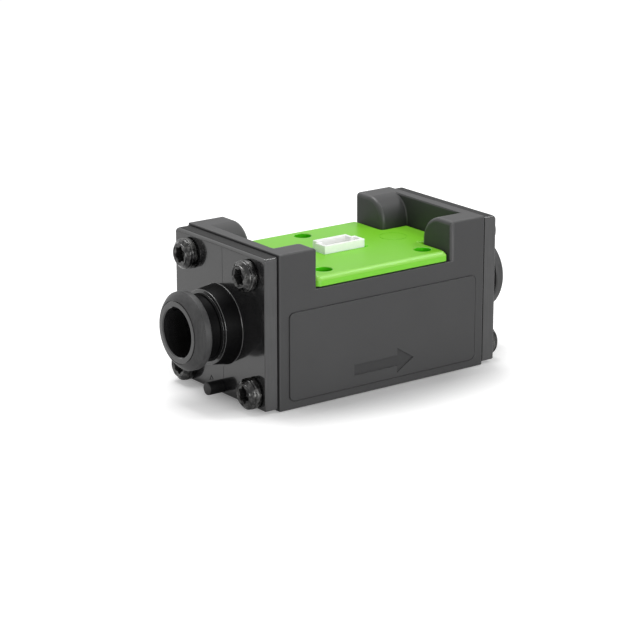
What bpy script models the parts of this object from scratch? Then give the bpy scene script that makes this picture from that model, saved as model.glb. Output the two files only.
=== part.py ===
"""Gas flow sensor: a moulded body with a screwed-on hose port at each end and a green cover on top.

Metres, +Z up. The origin is the centre of the base. Gas runs along +X, from inlet to outlet, and +Y
points to the rear. The side with the flow arrow faces -Y.
"""
import math

import bmesh
import bpy
from mathutils import Matrix, Vector

# Clearances
FIT_GAP = 0.00025
SEAM_GAP = 0.0003
OVERCUT = 0.002
MERGE_DISTANCE = 0.0000001

# Flow body
BODY_LENGTH = 0.0490
BODY_WIDTH = 0.0300
BODY_HEIGHT = 0.0303
BODY_EDGE = 0.00045
LEDGE_HEIGHT = 0.0225
POST_LENGTH = 0.0083
POST_WIDTH = 0.0087
POST_ROUNDING = 0.0050
END_WALL = 0.0022
AXIS_HEIGHT = 0.01417
CHANNEL_DIAMETER = 0.0074

# Raised side panel and the flow arrow in it
PANEL_LENGTH = 0.0446
PANEL_HEIGHT = 0.0171
PANEL_LOW = 0.0017
PANEL_RAISE = 0.00025
PANEL_CORNER = 0.0011
ARROW_LENGTH = 0.0142
ARROW_OFFSET = -0.00015
ARROW_HEAD_LENGTH = 0.0039
ARROW_HEAD_WIDTH = 0.00483
ARROW_SHAFT_WIDTH = 0.00206
ARROW_HEIGHT = 0.0050
ARROW_DEPTH = 0.0002

# Port fitting
PLATE_THICKNESS = 0.0028
PLATE_SIDE_INSET = 0.0003
PLATE_LOW_INSET = 0.00053
PLATE_TOP_INSET = 0.00037
PLATE_EDGE = 0.0005
COLLAR_LENGTH = 0.0035
COLLAR_BASE_DIAMETER = 0.01548
COLLAR_TIP_DIAMETER = 0.0144
RIM_LENGTH = 0.0005
RIM_DIAMETER = 0.0131
NECK_LENGTH = 0.0021
NECK_DIAMETER = 0.0122
BEAD_DIAMETER = 0.0151
BEAD_BACK_LENGTH = 0.0006
BEAD_LAND_LENGTH = 0.0015
NOSE_LENGTH = 0.0015
NOSE_DIAMETER = 0.0118
NOSE_START_ANGLE = 84
NOSE_END_ANGLE = 12
NOSE_POINTS = 5
PORT_BORE = 0.0095
BORE_CHAMFER = 0.0002
PEG_DIAMETER = 0.0025
PEG_LENGTH = 0.0035
PEG_RISE = 0.0011

# Fitting screws, pan head with a six-lobe recess
SCREW_TOP_SIDE_INSET = 0.0052
SCREW_LOW_SIDE_INSET = 0.0040
SCREW_LOW_HEIGHT = 0.0032
SCREW_TOP_INSET = 0.0045
SCREW_SHANK = 0.0025
SCREW_LENGTH = 0.0100
SCREW_HEAD_DIAMETER = 0.0060
SCREW_HEAD_HEIGHT = 0.0022
SCREW_FACE_DIAMETER = 0.0042
SCREW_RECESS_DIAMETER = 0.0031
SCREW_RECESS_DEPTH = 0.0012
TIP_GAP = 0.0006

# Seals and flow conditioning
SEAL_SECTION = 0.0012
SEAL_DIAMETER = 0.0158
SCREEN_DIAMETER = 0.0120
SCREEN_THICKNESS = 0.0010
SCREEN_HOLE = 0.0013
SCREEN_PITCH = 0.00185
STRAIGHTENER_DIAMETER = 0.0105
STRAIGHTENER_LENGTH = 0.0060
STRAIGHTENER_HOLE = 0.0017
STRAIGHTENER_PITCH = 0.0021

# Cover
COVER_TOP = 0.0246
COVER_SIDE_INSET = 0.0002
COVER_BEVEL = 0.0007
COVER_CORNER = 0.0010
COVER_HOLE = 0.0037
COVER_BOSS = 0.0052
COVER_BOSS_DROP = 0.0020
COVER_BOSS_FLOOR = 0.0009
COVER_SCREW_LEFT_INSET = 0.0049
COVER_SCREW_RIGHT_INSET = 0.0037
COVER_SCREW_FRONT_INSET = 0.0042
COVER_SCREW_REAR_INSET = 0.0037
COVER_SCREW_SHANK = 0.0018
COVER_SCREW_LENGTH = 0.0050
COVER_SCREW_HEAD_DIAMETER = 0.0031
COVER_SCREW_HEAD_HEIGHT = 0.0010
COVER_SCREW_FACE_DIAMETER = 0.0022
COVER_SCREW_RECESS_DIAMETER = 0.0015
COVER_SCREW_RECESS_DEPTH = 0.0005

# Circuit board and what it carries
BOARD_DROP = 0.0014
BOARD_THICKNESS = 0.0010
BOARD_WIDTH = 0.0134
BOARD_END_INSET = 0.0019
BOARD_REST = 0.0014
HEADER_HEIGHT = 0.0048
HEADER_END_MARGIN = 0.0018
HEADER_DEPTH = 0.0051
HEADER_NOTCH_LENGTH = 0.0008
HEADER_NOTCH_DEPTH = 0.0019
HEADER_WALL = 0.0006
HEADER_FLOOR = 0.0010
HEADER_OFFSET = 0.00005
PIN_COUNT = 4
PIN_PITCH = 0.0020
PIN_WIDTH = 0.0006
PIN_TAIL = 0.0004
PIN_RISE = 0.0036
SENSOR_OFFSET = 0.0087
CARRIER_WIDTH = 0.0052
CARRIER_THICKNESS = 0.0010
CARRIER_REACH = 0.0022
CHIP_SIDE = 0.0018
CHIP_THICKNESS = 0.0005
GASKET_THICKNESS = 0.0007
GASKET_RIM = 0.0014
PROCESSOR_SIDE = 0.0050
PROCESSOR_HEIGHT = 0.0008
PROCESSOR_OFFSET = 0.0092
REGULATOR_LENGTH = 0.0029
REGULATOR_WIDTH = 0.0016
REGULATOR_HEIGHT = 0.0008
REGULATOR_OFFSET = 0.0076
CAPACITOR_DIAMETER = 0.0022
CAPACITOR_HEIGHT = 0.0009
CAPACITOR_OFFSET = 0.0112

# Facets
PORT_STEPS = 40
INNER_STEPS = 28
CHANNEL_STEPS = 20
SCREW_STEPS = 18
COVER_SCREW_STEPS = 12
HOLE_STEPS = 16
BODY_HOLE_STEPS = 12

# Planes and levels that several pieces share
BODY_END = BODY_LENGTH / 2
BODY_SIDE = BODY_WIDTH / 2
OPENING_END = BODY_END - POST_LENGTH
POST_INNER = BODY_SIDE - POST_WIDTH
PLATE_INNER = BODY_END + SEAM_GAP
PLATE_OUTER = PLATE_INNER + PLATE_THICKNESS
COLLAR_END = PLATE_THICKNESS + COLLAR_LENGTH
BEAD_START = COLLAR_END + RIM_LENGTH + NECK_LENGTH
BEAD_LAND_END = BEAD_START + BEAD_BACK_LENGTH + BEAD_LAND_LENGTH
PORT_END = BEAD_LAND_END + NOSE_LENGTH
COVER_LOW = LEDGE_HEIGHT + FIT_GAP
BOARD_TOP = LEDGE_HEIGHT - BOARD_DROP
BOARD_LOW = BOARD_TOP - BOARD_THICKNESS
CARRIER_TOP = BOARD_LOW - FIT_GAP
GASKET_LOW = CARRIER_TOP - GASKET_THICKNESS
POCKET_FLOOR = GASKET_LOW - FIT_GAP
HEADER_LOW = BOARD_TOP + FIT_GAP
HEADER_LENGTH = (PIN_COUNT - 1) * PIN_PITCH + 2 * HEADER_END_MARGIN
HEADER_NOTCHED_LENGTH = HEADER_LENGTH - 2 * HEADER_NOTCH_LENGTH
SEAT_DIAMETER = SCREEN_DIAMETER + 2 * FIT_GAP
SEAT_DEPTH = SCREEN_THICKNESS + FIT_GAP
STRAIGHTENER_START = -BODY_END + SEAT_DEPTH + FIT_GAP
BOSS_LOW = COVER_LOW - COVER_BOSS_DROP
BOSS_FLOOR_TOP = BOSS_LOW + COVER_BOSS_FLOOR


def clear_objects():
    for item in list(bpy.data.objects):
        bpy.data.objects.remove(item, do_unlink=True)


def make_material(name, colour, roughness, metallic=0.0):
    finish = bpy.data.materials.new(name)
    finish.use_nodes = True
    shader = finish.node_tree.nodes["Principled BSDF"]
    shader.inputs["Base Color"].default_value = (*colour, 1.0)
    shader.inputs["Roughness"].default_value = roughness
    shader.inputs["Metallic"].default_value = metallic
    return finish


def arc(centre, radius, start, end, steps):
    """Points on an arc about centre, from start to end in degrees."""
    angles = [math.radians(start + (end - start) * step / steps) for step in range(steps + 1)]
    return [(centre[0] + radius * math.cos(a), centre[1] + radius * math.sin(a)) for a in angles]


def rounded(corners, steps=4):
    """A closed outline from (a, b, radius) corners, with each round corner swept as an arc."""
    outline = []
    for index, (a, b, radius) in enumerate(corners):
        corner = Vector((a, b))
        back = (Vector(corners[index - 1][:2]) - corner).normalized()
        ahead = (Vector(corners[(index + 1) % len(corners)][:2]) - corner).normalized()
        if radius == 0.0:
            outline.append(tuple(corner))
            continue
        half = back.angle(ahead) / 2
        centre = corner + (back + ahead).normalized() * radius / math.sin(half)
        first = (corner + back * radius / math.tan(half) - centre).normalized()
        last = (corner + ahead * radius / math.tan(half) - centre).normalized()
        for step in range(steps + 1):
            outline.append(tuple(centre + radius * first.slerp(last, step / steps)))
    return outline


def rectangle(low_a, high_a, low_b, high_b, radius=0.0, steps=4):
    corners = [(low_a, low_b), (high_a, low_b), (high_a, high_b), (low_a, high_b)]
    return rounded([(a, b, radius) for a, b in corners], steps)


def prism(outline, axis, low, high):
    """An outline extruded from low to high along an axis. Its points lie in the other two axes."""
    bm = bmesh.new()
    place = {"X": lambda a, b: (low, a, b), "Y": lambda a, b: (a, low, b),
             "Z": lambda a, b: (a, b, low)}[axis]
    base = bm.faces.new([bm.verts.new(place(a, b)) for a, b in outline])
    grown = bmesh.ops.extrude_face_region(bm, geom=[base])["geom"]
    top = [item for item in grown if isinstance(item, bmesh.types.BMVert)]
    travel = {"X": (high - low, 0, 0), "Y": (0, high - low, 0), "Z": (0, 0, high - low)}[axis]
    bmesh.ops.translate(bm, verts=top, vec=travel)
    return bm


def turned(profile, steps, closed=False):
    """A profile of (along X, radius) points spun about the X axis."""
    bm = bmesh.new()
    verts = [bm.verts.new((along, 0.0, radius)) for along, radius in profile]
    edges = [bm.edges.new(pair) for pair in zip(verts, verts[1:])]
    if closed:
        edges.append(bm.edges.new((verts[-1], verts[0])))
    bmesh.ops.spin(bm, geom=verts + edges, cent=(0, 0, 0), axis=(1, 0, 0), angle=math.tau,
                   steps=steps, use_merge=True)
    bmesh.ops.remove_doubles(bm, verts=bm.verts, dist=MERGE_DISTANCE)
    return bm


def stand_up(bm):
    """Turns a shape made along X so that it stands along Z."""
    bmesh.ops.rotate(bm, verts=bm.verts, cent=(0, 0, 0), matrix=Matrix.Rotation(-math.pi / 2, 3, "Y"))
    return bm


def shifted(bm, offset):
    bmesh.ops.translate(bm, verts=bm.verts, vec=offset)
    return bm


def joined(shapes):
    """Several separate closed shapes in one mesh, for one cutter."""
    whole = bmesh.new()
    for shape in shapes:
        mesh = bpy.data.meshes.new("shape")
        shape.to_mesh(mesh)
        whole.from_mesh(mesh)
        bpy.data.meshes.remove(mesh)
        shape.free()
    return whole


def bevel_level(bm, level, width, segments):
    """Bevels the edges that lie in the plane z = level."""
    edges = [e for e in bm.edges if all(abs(v.co.z - level) < MERGE_DISTANCE for v in e.verts)]
    bmesh.ops.bevel(bm, geom=edges, offset=width, segments=segments, affect="EDGES", profile=0.5)
    return bm


def hex_grid(pitch, rings):
    """Centres of a hexagonal pattern of holes with the given number of rings round the middle one."""
    centres = []
    for row in range(-rings, rings + 1):
        for column in range(-rings, rings + 1):
            if abs(row + column) <= rings:
                centres.append(((column + row / 2) * pitch, row * pitch * math.sqrt(3) / 2))
    return centres


def to_mesh(name, bm):
    bmesh.ops.recalc_face_normals(bm, faces=bm.faces)
    mesh = bpy.data.meshes.new(name)
    bm.to_mesh(mesh)
    bm.free()
    mesh.shade_smooth()
    mesh.set_sharp_from_angle(angle=math.radians(32))
    return mesh


def add_object(name, mesh, finish, parent):
    piece = bpy.data.objects.new(name, mesh)
    bpy.context.scene.collection.objects.link(piece)
    if not mesh.materials:
        mesh.materials.append(finish)
    piece.parent = parent
    return piece


def add_tool(piece, name, bm, operation="DIFFERENCE"):
    """A hidden shape that is cut from the piece, or united with it, by a Boolean modifier."""
    tool = bpy.data.objects.new(piece.name + "_" + name, to_mesh(name, bm))
    bpy.context.scene.collection.objects.link(tool)
    tool.parent = piece
    tool.hide_render = True
    tool.display_type = "WIRE"
    step = piece.modifiers.new(name, "BOOLEAN")
    step.operation = operation
    step.solver = "EXACT"
    step.object = tool


def cover_screw_places():
    left = -OPENING_END + COVER_SCREW_LEFT_INSET
    right = OPENING_END - COVER_SCREW_RIGHT_INSET
    front = -BODY_SIDE + COVER_SCREW_FRONT_INSET
    rear = BODY_SIDE - COVER_SCREW_REAR_INSET
    return {"front_left": (left, front), "front_right": (right, front), "rear": (0.0, rear)}


def at_cover_screws(profile, steps):
    """The same turned shape standing at each cover screw."""
    places = cover_screw_places().values()
    return joined([shifted(stand_up(turned(profile, steps)), (x, y, 0)) for x, y in places])


def fitting_screw_places():
    top_side = BODY_SIDE - SCREW_TOP_SIDE_INSET
    low_side = BODY_SIDE - SCREW_LOW_SIDE_INSET
    high = BODY_HEIGHT - SCREW_TOP_INSET
    return {"front_top": (-top_side, high), "front_bottom": (-low_side, SCREW_LOW_HEIGHT),
            "rear_top": (top_side, high), "rear_bottom": (low_side, SCREW_LOW_HEIGHT)}


def post_gap_profile():
    """The space between the posts, with the posts' upper inner edges rounded."""
    rounding = min(POST_ROUNDING, 0.8 * POST_WIDTH, 0.9 * (BODY_HEIGHT - LEDGE_HEIGHT))
    outer = POST_INNER + rounding
    centre_height = BODY_HEIGHT - rounding
    right = arc((outer, centre_height), rounding, 180, 90, 8)
    left = arc((-outer, centre_height), rounding, 90, 0, 8)
    over = BODY_HEIGHT + OVERCUT
    floor = [(-POST_INNER, LEDGE_HEIGHT), (POST_INNER, LEDGE_HEIGHT)]
    return floor + right + [(outer, over), (-outer, over)] + left


def channel_profile():
    seat = SEAT_DIAMETER / 2
    pocket = STRAIGHTENER_DIAMETER / 2 + FIT_GAP
    channel = CHANNEL_DIAMETER / 2
    inlet_seat = -BODY_END + SEAT_DEPTH
    shoulder = STRAIGHTENER_START + STRAIGHTENER_LENGTH + FIT_GAP
    outlet_seat = BODY_END - SEAT_DEPTH
    over = BODY_END + OVERCUT
    return [(-over, 0.0), (-over, seat), (inlet_seat, seat), (inlet_seat, pocket), (shoulder, pocket),
            (shoulder, channel), (outlet_seat, channel), (outlet_seat, seat), (over, seat), (over, 0.0)]


def arrow_outline():
    tip = ARROW_LENGTH / 2
    neck = tip - ARROW_HEAD_LENGTH
    shaft = ARROW_SHAFT_WIDTH / 2
    head = ARROW_HEAD_WIDTH / 2
    lower = [(-tip, -shaft), (neck, -shaft), (neck, -head), (tip, 0)]
    upper = [(along, -up) for along, up in reversed(lower[:3])]
    return [(ARROW_OFFSET + along, ARROW_HEIGHT + up) for along, up in lower + upper]


def pilot_holes():
    """Holes for the fitting screws in both ends of the body."""
    depth = SCREW_LENGTH - PLATE_THICKNESS - SEAM_GAP + TIP_GAP
    radius = SCREW_SHANK / 2 + FIT_GAP
    holes = []
    for start, end in ((BODY_END - depth, BODY_END + OVERCUT), (-BODY_END - OVERCUT, -BODY_END + depth)):
        for y, z in fitting_screw_places().values():
            profile = [(start, 0.0), (start, radius), (end, radius), (end, 0.0)]
            holes.append(shifted(turned(profile, BODY_HOLE_STEPS), (0, y, z)))
    return joined(holes)


def boss_recesses():
    """Stepped holes that take the cover's bosses and the cover screws."""
    boss = COVER_BOSS / 2 + FIT_GAP
    pilot = COVER_SCREW_SHANK / 2 + FIT_GAP
    floor = BOSS_LOW - FIT_GAP
    foot = BOSS_FLOOR_TOP + FIT_GAP - COVER_SCREW_LENGTH - TIP_GAP
    over = LEDGE_HEIGHT + OVERCUT
    profile = [(foot, 0.0), (foot, pilot), (floor, pilot), (floor, boss), (over, boss), (over, 0.0)]
    return at_cover_screws(profile, BODY_HOLE_STEPS)


def build_flow_body(parent, finish):
    block = prism(rectangle(-BODY_SIDE, BODY_SIDE, 0.0, BODY_HEIGHT), "X", -BODY_END, BODY_END)
    body = add_object("flow_body", to_mesh("flow_body", block), finish, parent)

    over = BODY_SIDE + OVERCUT
    opening = rectangle(-OPENING_END, OPENING_END, LEDGE_HEIGHT, BODY_HEIGHT + OVERCUT)
    add_tool(body, "opening", prism(opening, "Y", -over, over))
    wall = BODY_END - END_WALL
    add_tool(body, "post_gap", prism(post_gap_profile(), "X", -wall, wall))

    edges = body.modifiers.new("edges", "BEVEL")
    edges.width = BODY_EDGE
    edges.segments = 2
    edges.limit_method = "ANGLE"
    edges.angle_limit = math.radians(50)

    panel = rectangle(-PANEL_LENGTH / 2, PANEL_LENGTH / 2, PANEL_LOW, PANEL_LOW + PANEL_HEIGHT, PANEL_CORNER)
    face = BODY_SIDE + PANEL_RAISE
    add_tool(body, "front_panel", prism(panel, "Y", -face, -BODY_SIDE + OVERCUT), "UNION")
    add_tool(body, "rear_panel", prism(panel, "Y", BODY_SIDE - OVERCUT, face), "UNION")
    add_tool(body, "arrow", prism(arrow_outline(), "Y", -face - OVERCUT, -face + ARROW_DEPTH))

    add_tool(body, "channel", shifted(turned(channel_profile(), CHANNEL_STEPS), (0, 0, AXIS_HEIGHT)))
    end = OPENING_END - BOARD_END_INSET + FIT_GAP
    side = BOARD_WIDTH / 2 + FIT_GAP
    upper = rectangle(-end, end, -side, side, COVER_CORNER)
    add_tool(body, "board_pocket", prism(upper, "Z", BOARD_LOW - FIT_GAP, LEDGE_HEIGHT + OVERCUT))
    end -= BOARD_REST
    side -= BOARD_REST
    lower = rectangle(-end, end, -side, side, COVER_CORNER)
    add_tool(body, "lower_pocket", prism(lower, "Z", POCKET_FLOOR, BOARD_LOW))
    slot_end = CARRIER_WIDTH / 2 + FIT_GAP
    slot_side = CARRIER_THICKNESS / 2 + FIT_GAP
    slot = rectangle(SENSOR_OFFSET - slot_end, SENSOR_OFFSET + slot_end, -slot_side, slot_side)
    add_tool(body, "carrier_slot", prism(slot, "Z", AXIS_HEIGHT, POCKET_FLOOR + FIT_GAP))
    add_tool(body, "boss_recesses", boss_recesses())
    add_tool(body, "pilot_holes", pilot_holes())


def port_profile():
    """Outer profile of the hose port, from inside the plate to its rounded nose."""
    root = PLATE_THICKNESS / 2
    rim_end = COLLAR_END + RIM_LENGTH
    bead = BEAD_DIAMETER / 2
    shoulder = BEAD_START + BEAD_BACK_LENGTH
    corner = BEAD_BACK_LENGTH / 3
    profile = [(root, 0.0), (root, COLLAR_BASE_DIAMETER / 2), (PLATE_THICKNESS, COLLAR_BASE_DIAMETER / 2),
               (COLLAR_END, COLLAR_TIP_DIAMETER / 2), (COLLAR_END, RIM_DIAMETER / 2),
               (rim_end, RIM_DIAMETER / 2), (rim_end, NECK_DIAMETER / 2), (BEAD_START, NECK_DIAMETER / 2),
               (shoulder, bead - corner), (shoulder + corner, bead)]
    drop = (BEAD_DIAMETER - NOSE_DIAMETER) / 2
    for along, up in arc((0, 0), 1.0, NOSE_START_ANGLE, NOSE_END_ANGLE, NOSE_POINTS - 1):
        profile.append((BEAD_LAND_END + NOSE_LENGTH * along, bead - drop * (1 - up)))
    return profile + [(PORT_END, NOSE_DIAMETER / 2), (PORT_END, 0.0)]


def bore_profile():
    bore = PORT_BORE / 2
    lip = bore + BORE_CHAMFER
    over = PORT_END + OVERCUT
    return [(-OVERCUT, 0.0), (-OVERCUT, bore), (PORT_END - BORE_CHAMFER, bore), (PORT_END, lip), (over, lip),
            (over, 0.0)]


def seal_groove():
    centre = SEAL_DIAMETER / 2
    half = SEAL_SECTION / 2 + FIT_GAP
    floor = SEAL_SECTION + FIT_GAP
    profile = [(-OVERCUT, centre - half), (floor, centre - half), (floor, centre + half),
               (-OVERCUT, centre + half)]
    return turned(profile, INNER_STEPS, closed=True)


def plate_holes():
    radius = SCREW_SHANK / 2 + FIT_GAP
    profile = [(-OVERCUT, 0.0), (-OVERCUT, radius), (PLATE_THICKNESS + OVERCUT, radius),
               (PLATE_THICKNESS + OVERCUT, 0.0)]
    places = fitting_screw_places().values()
    return joined([shifted(turned(profile, HOLE_STEPS), (0, y, z)) for y, z in places])


def build_fitting(name, direction, parent, finish):
    """End plate and hose port in one moulding. Its own +X points out of the body."""
    side = BODY_SIDE - PLATE_SIDE_INSET
    outline = rectangle(-side, side, PLATE_LOW_INSET, BODY_HEIGHT - PLATE_TOP_INSET)
    plate = prism(outline, "X", 0.0, PLATE_THICKNESS)
    bmesh.ops.bevel(plate, geom=plate.edges[:], offset=PLATE_EDGE, segments=2, affect="EDGES", profile=0.5)
    fitting = add_object(name, to_mesh(name, plate), finish, parent)
    fitting.location.x = direction * PLATE_INNER
    fitting.rotation_euler.z = 0.0 if direction > 0 else math.pi

    axis = (0, 0, AXIS_HEIGHT)
    add_tool(fitting, "port", shifted(turned(port_profile(), PORT_STEPS), axis), "UNION")
    peg = PEG_DIAMETER / 2
    tip = PLATE_THICKNESS + PEG_LENGTH
    profile = [(PLATE_THICKNESS / 2, 0.0), (PLATE_THICKNESS / 2, peg), (tip - peg / 4, peg),
               (tip, peg - peg / 4), (tip, 0.0)]
    peg_height = PLATE_LOW_INSET + PEG_RISE
    add_tool(fitting, "peg", shifted(turned(profile, SCREW_STEPS), (0, 0, peg_height)), "UNION")
    add_tool(fitting, "bore", shifted(turned(bore_profile(), PORT_STEPS), axis))
    add_tool(fitting, "seal_groove", shifted(seal_groove(), axis))
    add_tool(fitting, "screw_holes", plate_holes())


def screw_mesh(name, steps, shank, length, head, height, face, recess, depth):
    """A pan-head screw along X, its head's underside at x = 0, with a six-lobe recess in its face."""
    tip_chamfer = 0.15 * shank
    side = 0.55 * height
    turn = 0.86 * height
    turn_radius = (head + face) / 4
    recess_floor = 0.45 * recess
    lobe = 0.14
    rings = [(-length, shank / 2 - tip_chamfer, 0.0), (-length + tip_chamfer, shank / 2, 0.0),
             (0.0, shank / 2, 0.0), (0.0, head / 2, 0.0), (side, head / 2, 0.0), (turn, turn_radius, 0.0),
             (height, face / 2, 0.0), (height, recess / 2, lobe), (height - depth, recess_floor, lobe)]
    bm = bmesh.new()
    loops = []
    for along, radius, swing in rings:
        loop = []
        for step in range(steps):
            angle = math.tau * step / steps
            reach = radius * (1 - swing + swing * math.cos(6 * angle))
            loop.append(bm.verts.new((along, reach * math.cos(angle), reach * math.sin(angle))))
        loops.append(loop)
    for near, far in zip(loops, loops[1:]):
        for step in range(steps):
            after = (step + 1) % steps
            bm.faces.new((near[step], near[after], far[after], far[step]))
    bm.faces.new(loops[0])
    bm.faces.new(loops[-1])
    return to_mesh(name, bm)


def build_fitting_screws(parent, finish):
    mesh = screw_mesh("fitting_screw", SCREW_STEPS, SCREW_SHANK, SCREW_LENGTH, SCREW_HEAD_DIAMETER,
                      SCREW_HEAD_HEIGHT, SCREW_FACE_DIAMETER, SCREW_RECESS_DIAMETER, SCREW_RECESS_DEPTH)
    for end, direction in (("inlet", -1), ("outlet", 1)):
        for place, (y, z) in fitting_screw_places().items():
            screw = add_object(end + "_screw_" + place, mesh, finish, parent)
            screw.location = (direction * (PLATE_OUTER + FIT_GAP), y, z)
            screw.rotation_euler.z = 0.0 if direction > 0 else math.pi


def build_cover_screws(parent, finish):
    mesh = screw_mesh("cover_screw", COVER_SCREW_STEPS, COVER_SCREW_SHANK, COVER_SCREW_LENGTH,
                      COVER_SCREW_HEAD_DIAMETER, COVER_SCREW_HEAD_HEIGHT, COVER_SCREW_FACE_DIAMETER,
                      COVER_SCREW_RECESS_DIAMETER, COVER_SCREW_RECESS_DEPTH)
    for place, (x, y) in cover_screw_places().items():
        screw = add_object("cover_screw_" + place, mesh, finish, parent)
        screw.location = (x, y, BOSS_FLOOR_TOP + FIT_GAP)
        screw.rotation_euler.y = -math.pi / 2


def build_seals(parent, finish):
    radius = SEAL_SECTION / 2
    centre = BODY_END + FIT_GAP + radius
    for end, direction in (("inlet", -1), ("outlet", 1)):
        section = arc((direction * centre, SEAL_DIAMETER / 2), radius, 0, 315, 7)
        ring = shifted(turned(section, INNER_STEPS, closed=True), (0, 0, AXIS_HEIGHT))
        add_object(end + "_o_ring", to_mesh(end + "_o_ring", ring), finish, parent)


def perforated_disc(name, low, high, diameter, hole, pitch, finish, parent):
    profile = [(low, 0.0), (low, diameter / 2), (high, diameter / 2), (high, 0.0)]
    disc = shifted(turned(profile, INNER_STEPS), (0, 0, AXIS_HEIGHT))
    piece = add_object(name, to_mesh(name, disc), finish, parent)
    holes = []
    for y, z in hex_grid(pitch, 2):
        outline = arc((y, AXIS_HEIGHT + z), hole / 2, 30, 330, 5)
        holes.append(prism(outline, "X", low - OVERCUT, high + OVERCUT))
    add_tool(piece, "holes", joined(holes))


def build_flow_conditioning(parent, screen_finish, straightener_finish):
    """A screen flush with each end of the body, and a honeycomb behind the inlet screen."""
    inner = BODY_END - SCREEN_THICKNESS
    perforated_disc("inlet_screen", -BODY_END, -inner, SCREEN_DIAMETER, SCREEN_HOLE, SCREEN_PITCH,
                    screen_finish, parent)
    perforated_disc("outlet_screen", inner, BODY_END, SCREEN_DIAMETER, SCREEN_HOLE, SCREEN_PITCH,
                    screen_finish, parent)
    perforated_disc("flow_straightener", STRAIGHTENER_START, STRAIGHTENER_START + STRAIGHTENER_LENGTH,
                    STRAIGHTENER_DIAMETER, STRAIGHTENER_HOLE, STRAIGHTENER_PITCH, straightener_finish, parent)


def cover_outline():
    """Plus shape: the main panel between the side openings, with a tongue between each pair of posts."""
    end = OPENING_END - FIT_GAP
    side = BODY_SIDE - COVER_SIDE_INSET
    tongue_end = BODY_END - END_WALL - FIT_GAP
    tongue_side = POST_INNER - FIT_GAP
    quarter = [(end, side, COVER_CORNER), (end, tongue_side, 0.0), (tongue_end, tongue_side, COVER_CORNER)]
    corners = []
    for sign_x, sign_y, order in ((1, 1, -1), (-1, 1, 1), (-1, -1, -1), (1, -1, 1)):
        corners += [(sign_x * x, sign_y * y, radius) for x, y, radius in quarter[::order]]
    return rounded(corners, 3)


def header_outline(inset):
    """The header seen from above: full length at the front, notched at both ends at the rear."""
    long_end = HEADER_LENGTH / 2 - inset
    short_end = HEADER_NOTCHED_LENGTH / 2 - inset
    front = HEADER_OFFSET - HEADER_DEPTH / 2 + inset
    rear = HEADER_OFFSET + HEADER_DEPTH / 2 - inset
    notch = HEADER_OFFSET + HEADER_DEPTH / 2 - HEADER_NOTCH_DEPTH - inset
    return [(-long_end, front), (long_end, front), (long_end, notch), (short_end, notch), (short_end, rear),
            (-short_end, rear), (-short_end, notch), (-long_end, notch)]


def build_cover(parent, finish):
    slab = prism(cover_outline(), "Z", COVER_LOW, COVER_TOP)
    bevel_level(slab, COVER_TOP, COVER_BEVEL, 3)
    cover = add_object("sensor_cover", to_mesh("sensor_cover", slab), finish, parent)

    middle = (COVER_LOW + COVER_TOP) / 2
    boss = [(BOSS_LOW, 0.0), (BOSS_LOW, COVER_BOSS / 2), (middle, COVER_BOSS / 2), (middle, 0.0)]
    add_tool(cover, "bosses", at_cover_screws(boss, HOLE_STEPS), "UNION")
    through = COVER_SCREW_SHANK / 2 + FIT_GAP
    over = COVER_TOP + OVERCUT
    hole = [(BOSS_LOW - OVERCUT, 0.0), (BOSS_LOW - OVERCUT, through), (BOSS_FLOOR_TOP, through),
            (BOSS_FLOOR_TOP, COVER_HOLE / 2), (over, COVER_HOLE / 2), (over, 0.0)]
    add_tool(cover, "holes", at_cover_screws(hole, HOLE_STEPS))
    window = prism(header_outline(-FIT_GAP), "Z", COVER_LOW - OVERCUT, over)
    add_tool(cover, "header_window", window)


def pin_places():
    first = -PIN_PITCH * (PIN_COUNT - 1) / 2
    return [(first + PIN_PITCH * index, HEADER_OFFSET) for index in range(PIN_COUNT)]


def pin_prisms(half, low, high):
    return [prism(rectangle(x - half, x + half, y - half, y + half), "Z", low, high) for x, y in pin_places()]


def build_header(parent, housing_finish, pin_finish):
    shell = prism(header_outline(0.0), "Z", HEADER_LOW, HEADER_LOW + HEADER_HEIGHT)
    housing = add_object("connector_housing", to_mesh("connector_housing", shell), housing_finish, parent)
    floor = HEADER_LOW + HEADER_FLOOR
    top = HEADER_LOW + HEADER_HEIGHT
    add_tool(housing, "socket", prism(header_outline(HEADER_WALL), "Z", floor, top + OVERCUT))
    clear = PIN_WIDTH / 2 + FIT_GAP
    add_tool(housing, "pin_holes", joined(pin_prisms(clear, HEADER_LOW - OVERCUT, floor + FIT_GAP)))
    pins = pin_prisms(PIN_WIDTH / 2, BOARD_LOW - PIN_TAIL, HEADER_LOW + PIN_RISE)
    for number, pin in enumerate(pins, 1):
        name = "connector_pin_" + str(number)
        add_object(name, to_mesh(name, pin), pin_finish, parent)


def build_board(parent, finish):
    end = OPENING_END - BOARD_END_INSET
    outline = rectangle(-end, end, -BOARD_WIDTH / 2, BOARD_WIDTH / 2, COVER_CORNER - FIT_GAP)
    slab = prism(outline, "Z", BOARD_LOW, BOARD_TOP)
    board = add_object("circuit_board", to_mesh("circuit_board", slab), finish, parent)
    clear = PIN_WIDTH / 2 + FIT_GAP
    add_tool(board, "pin_holes", joined(pin_prisms(clear, BOARD_LOW - OVERCUT, BOARD_TOP + OVERCUT)))


def add_block(name, outline, low, high, finish, parent):
    return add_object(name, to_mesh(name, prism(outline, "Z", low, high)), finish, parent)


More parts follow.
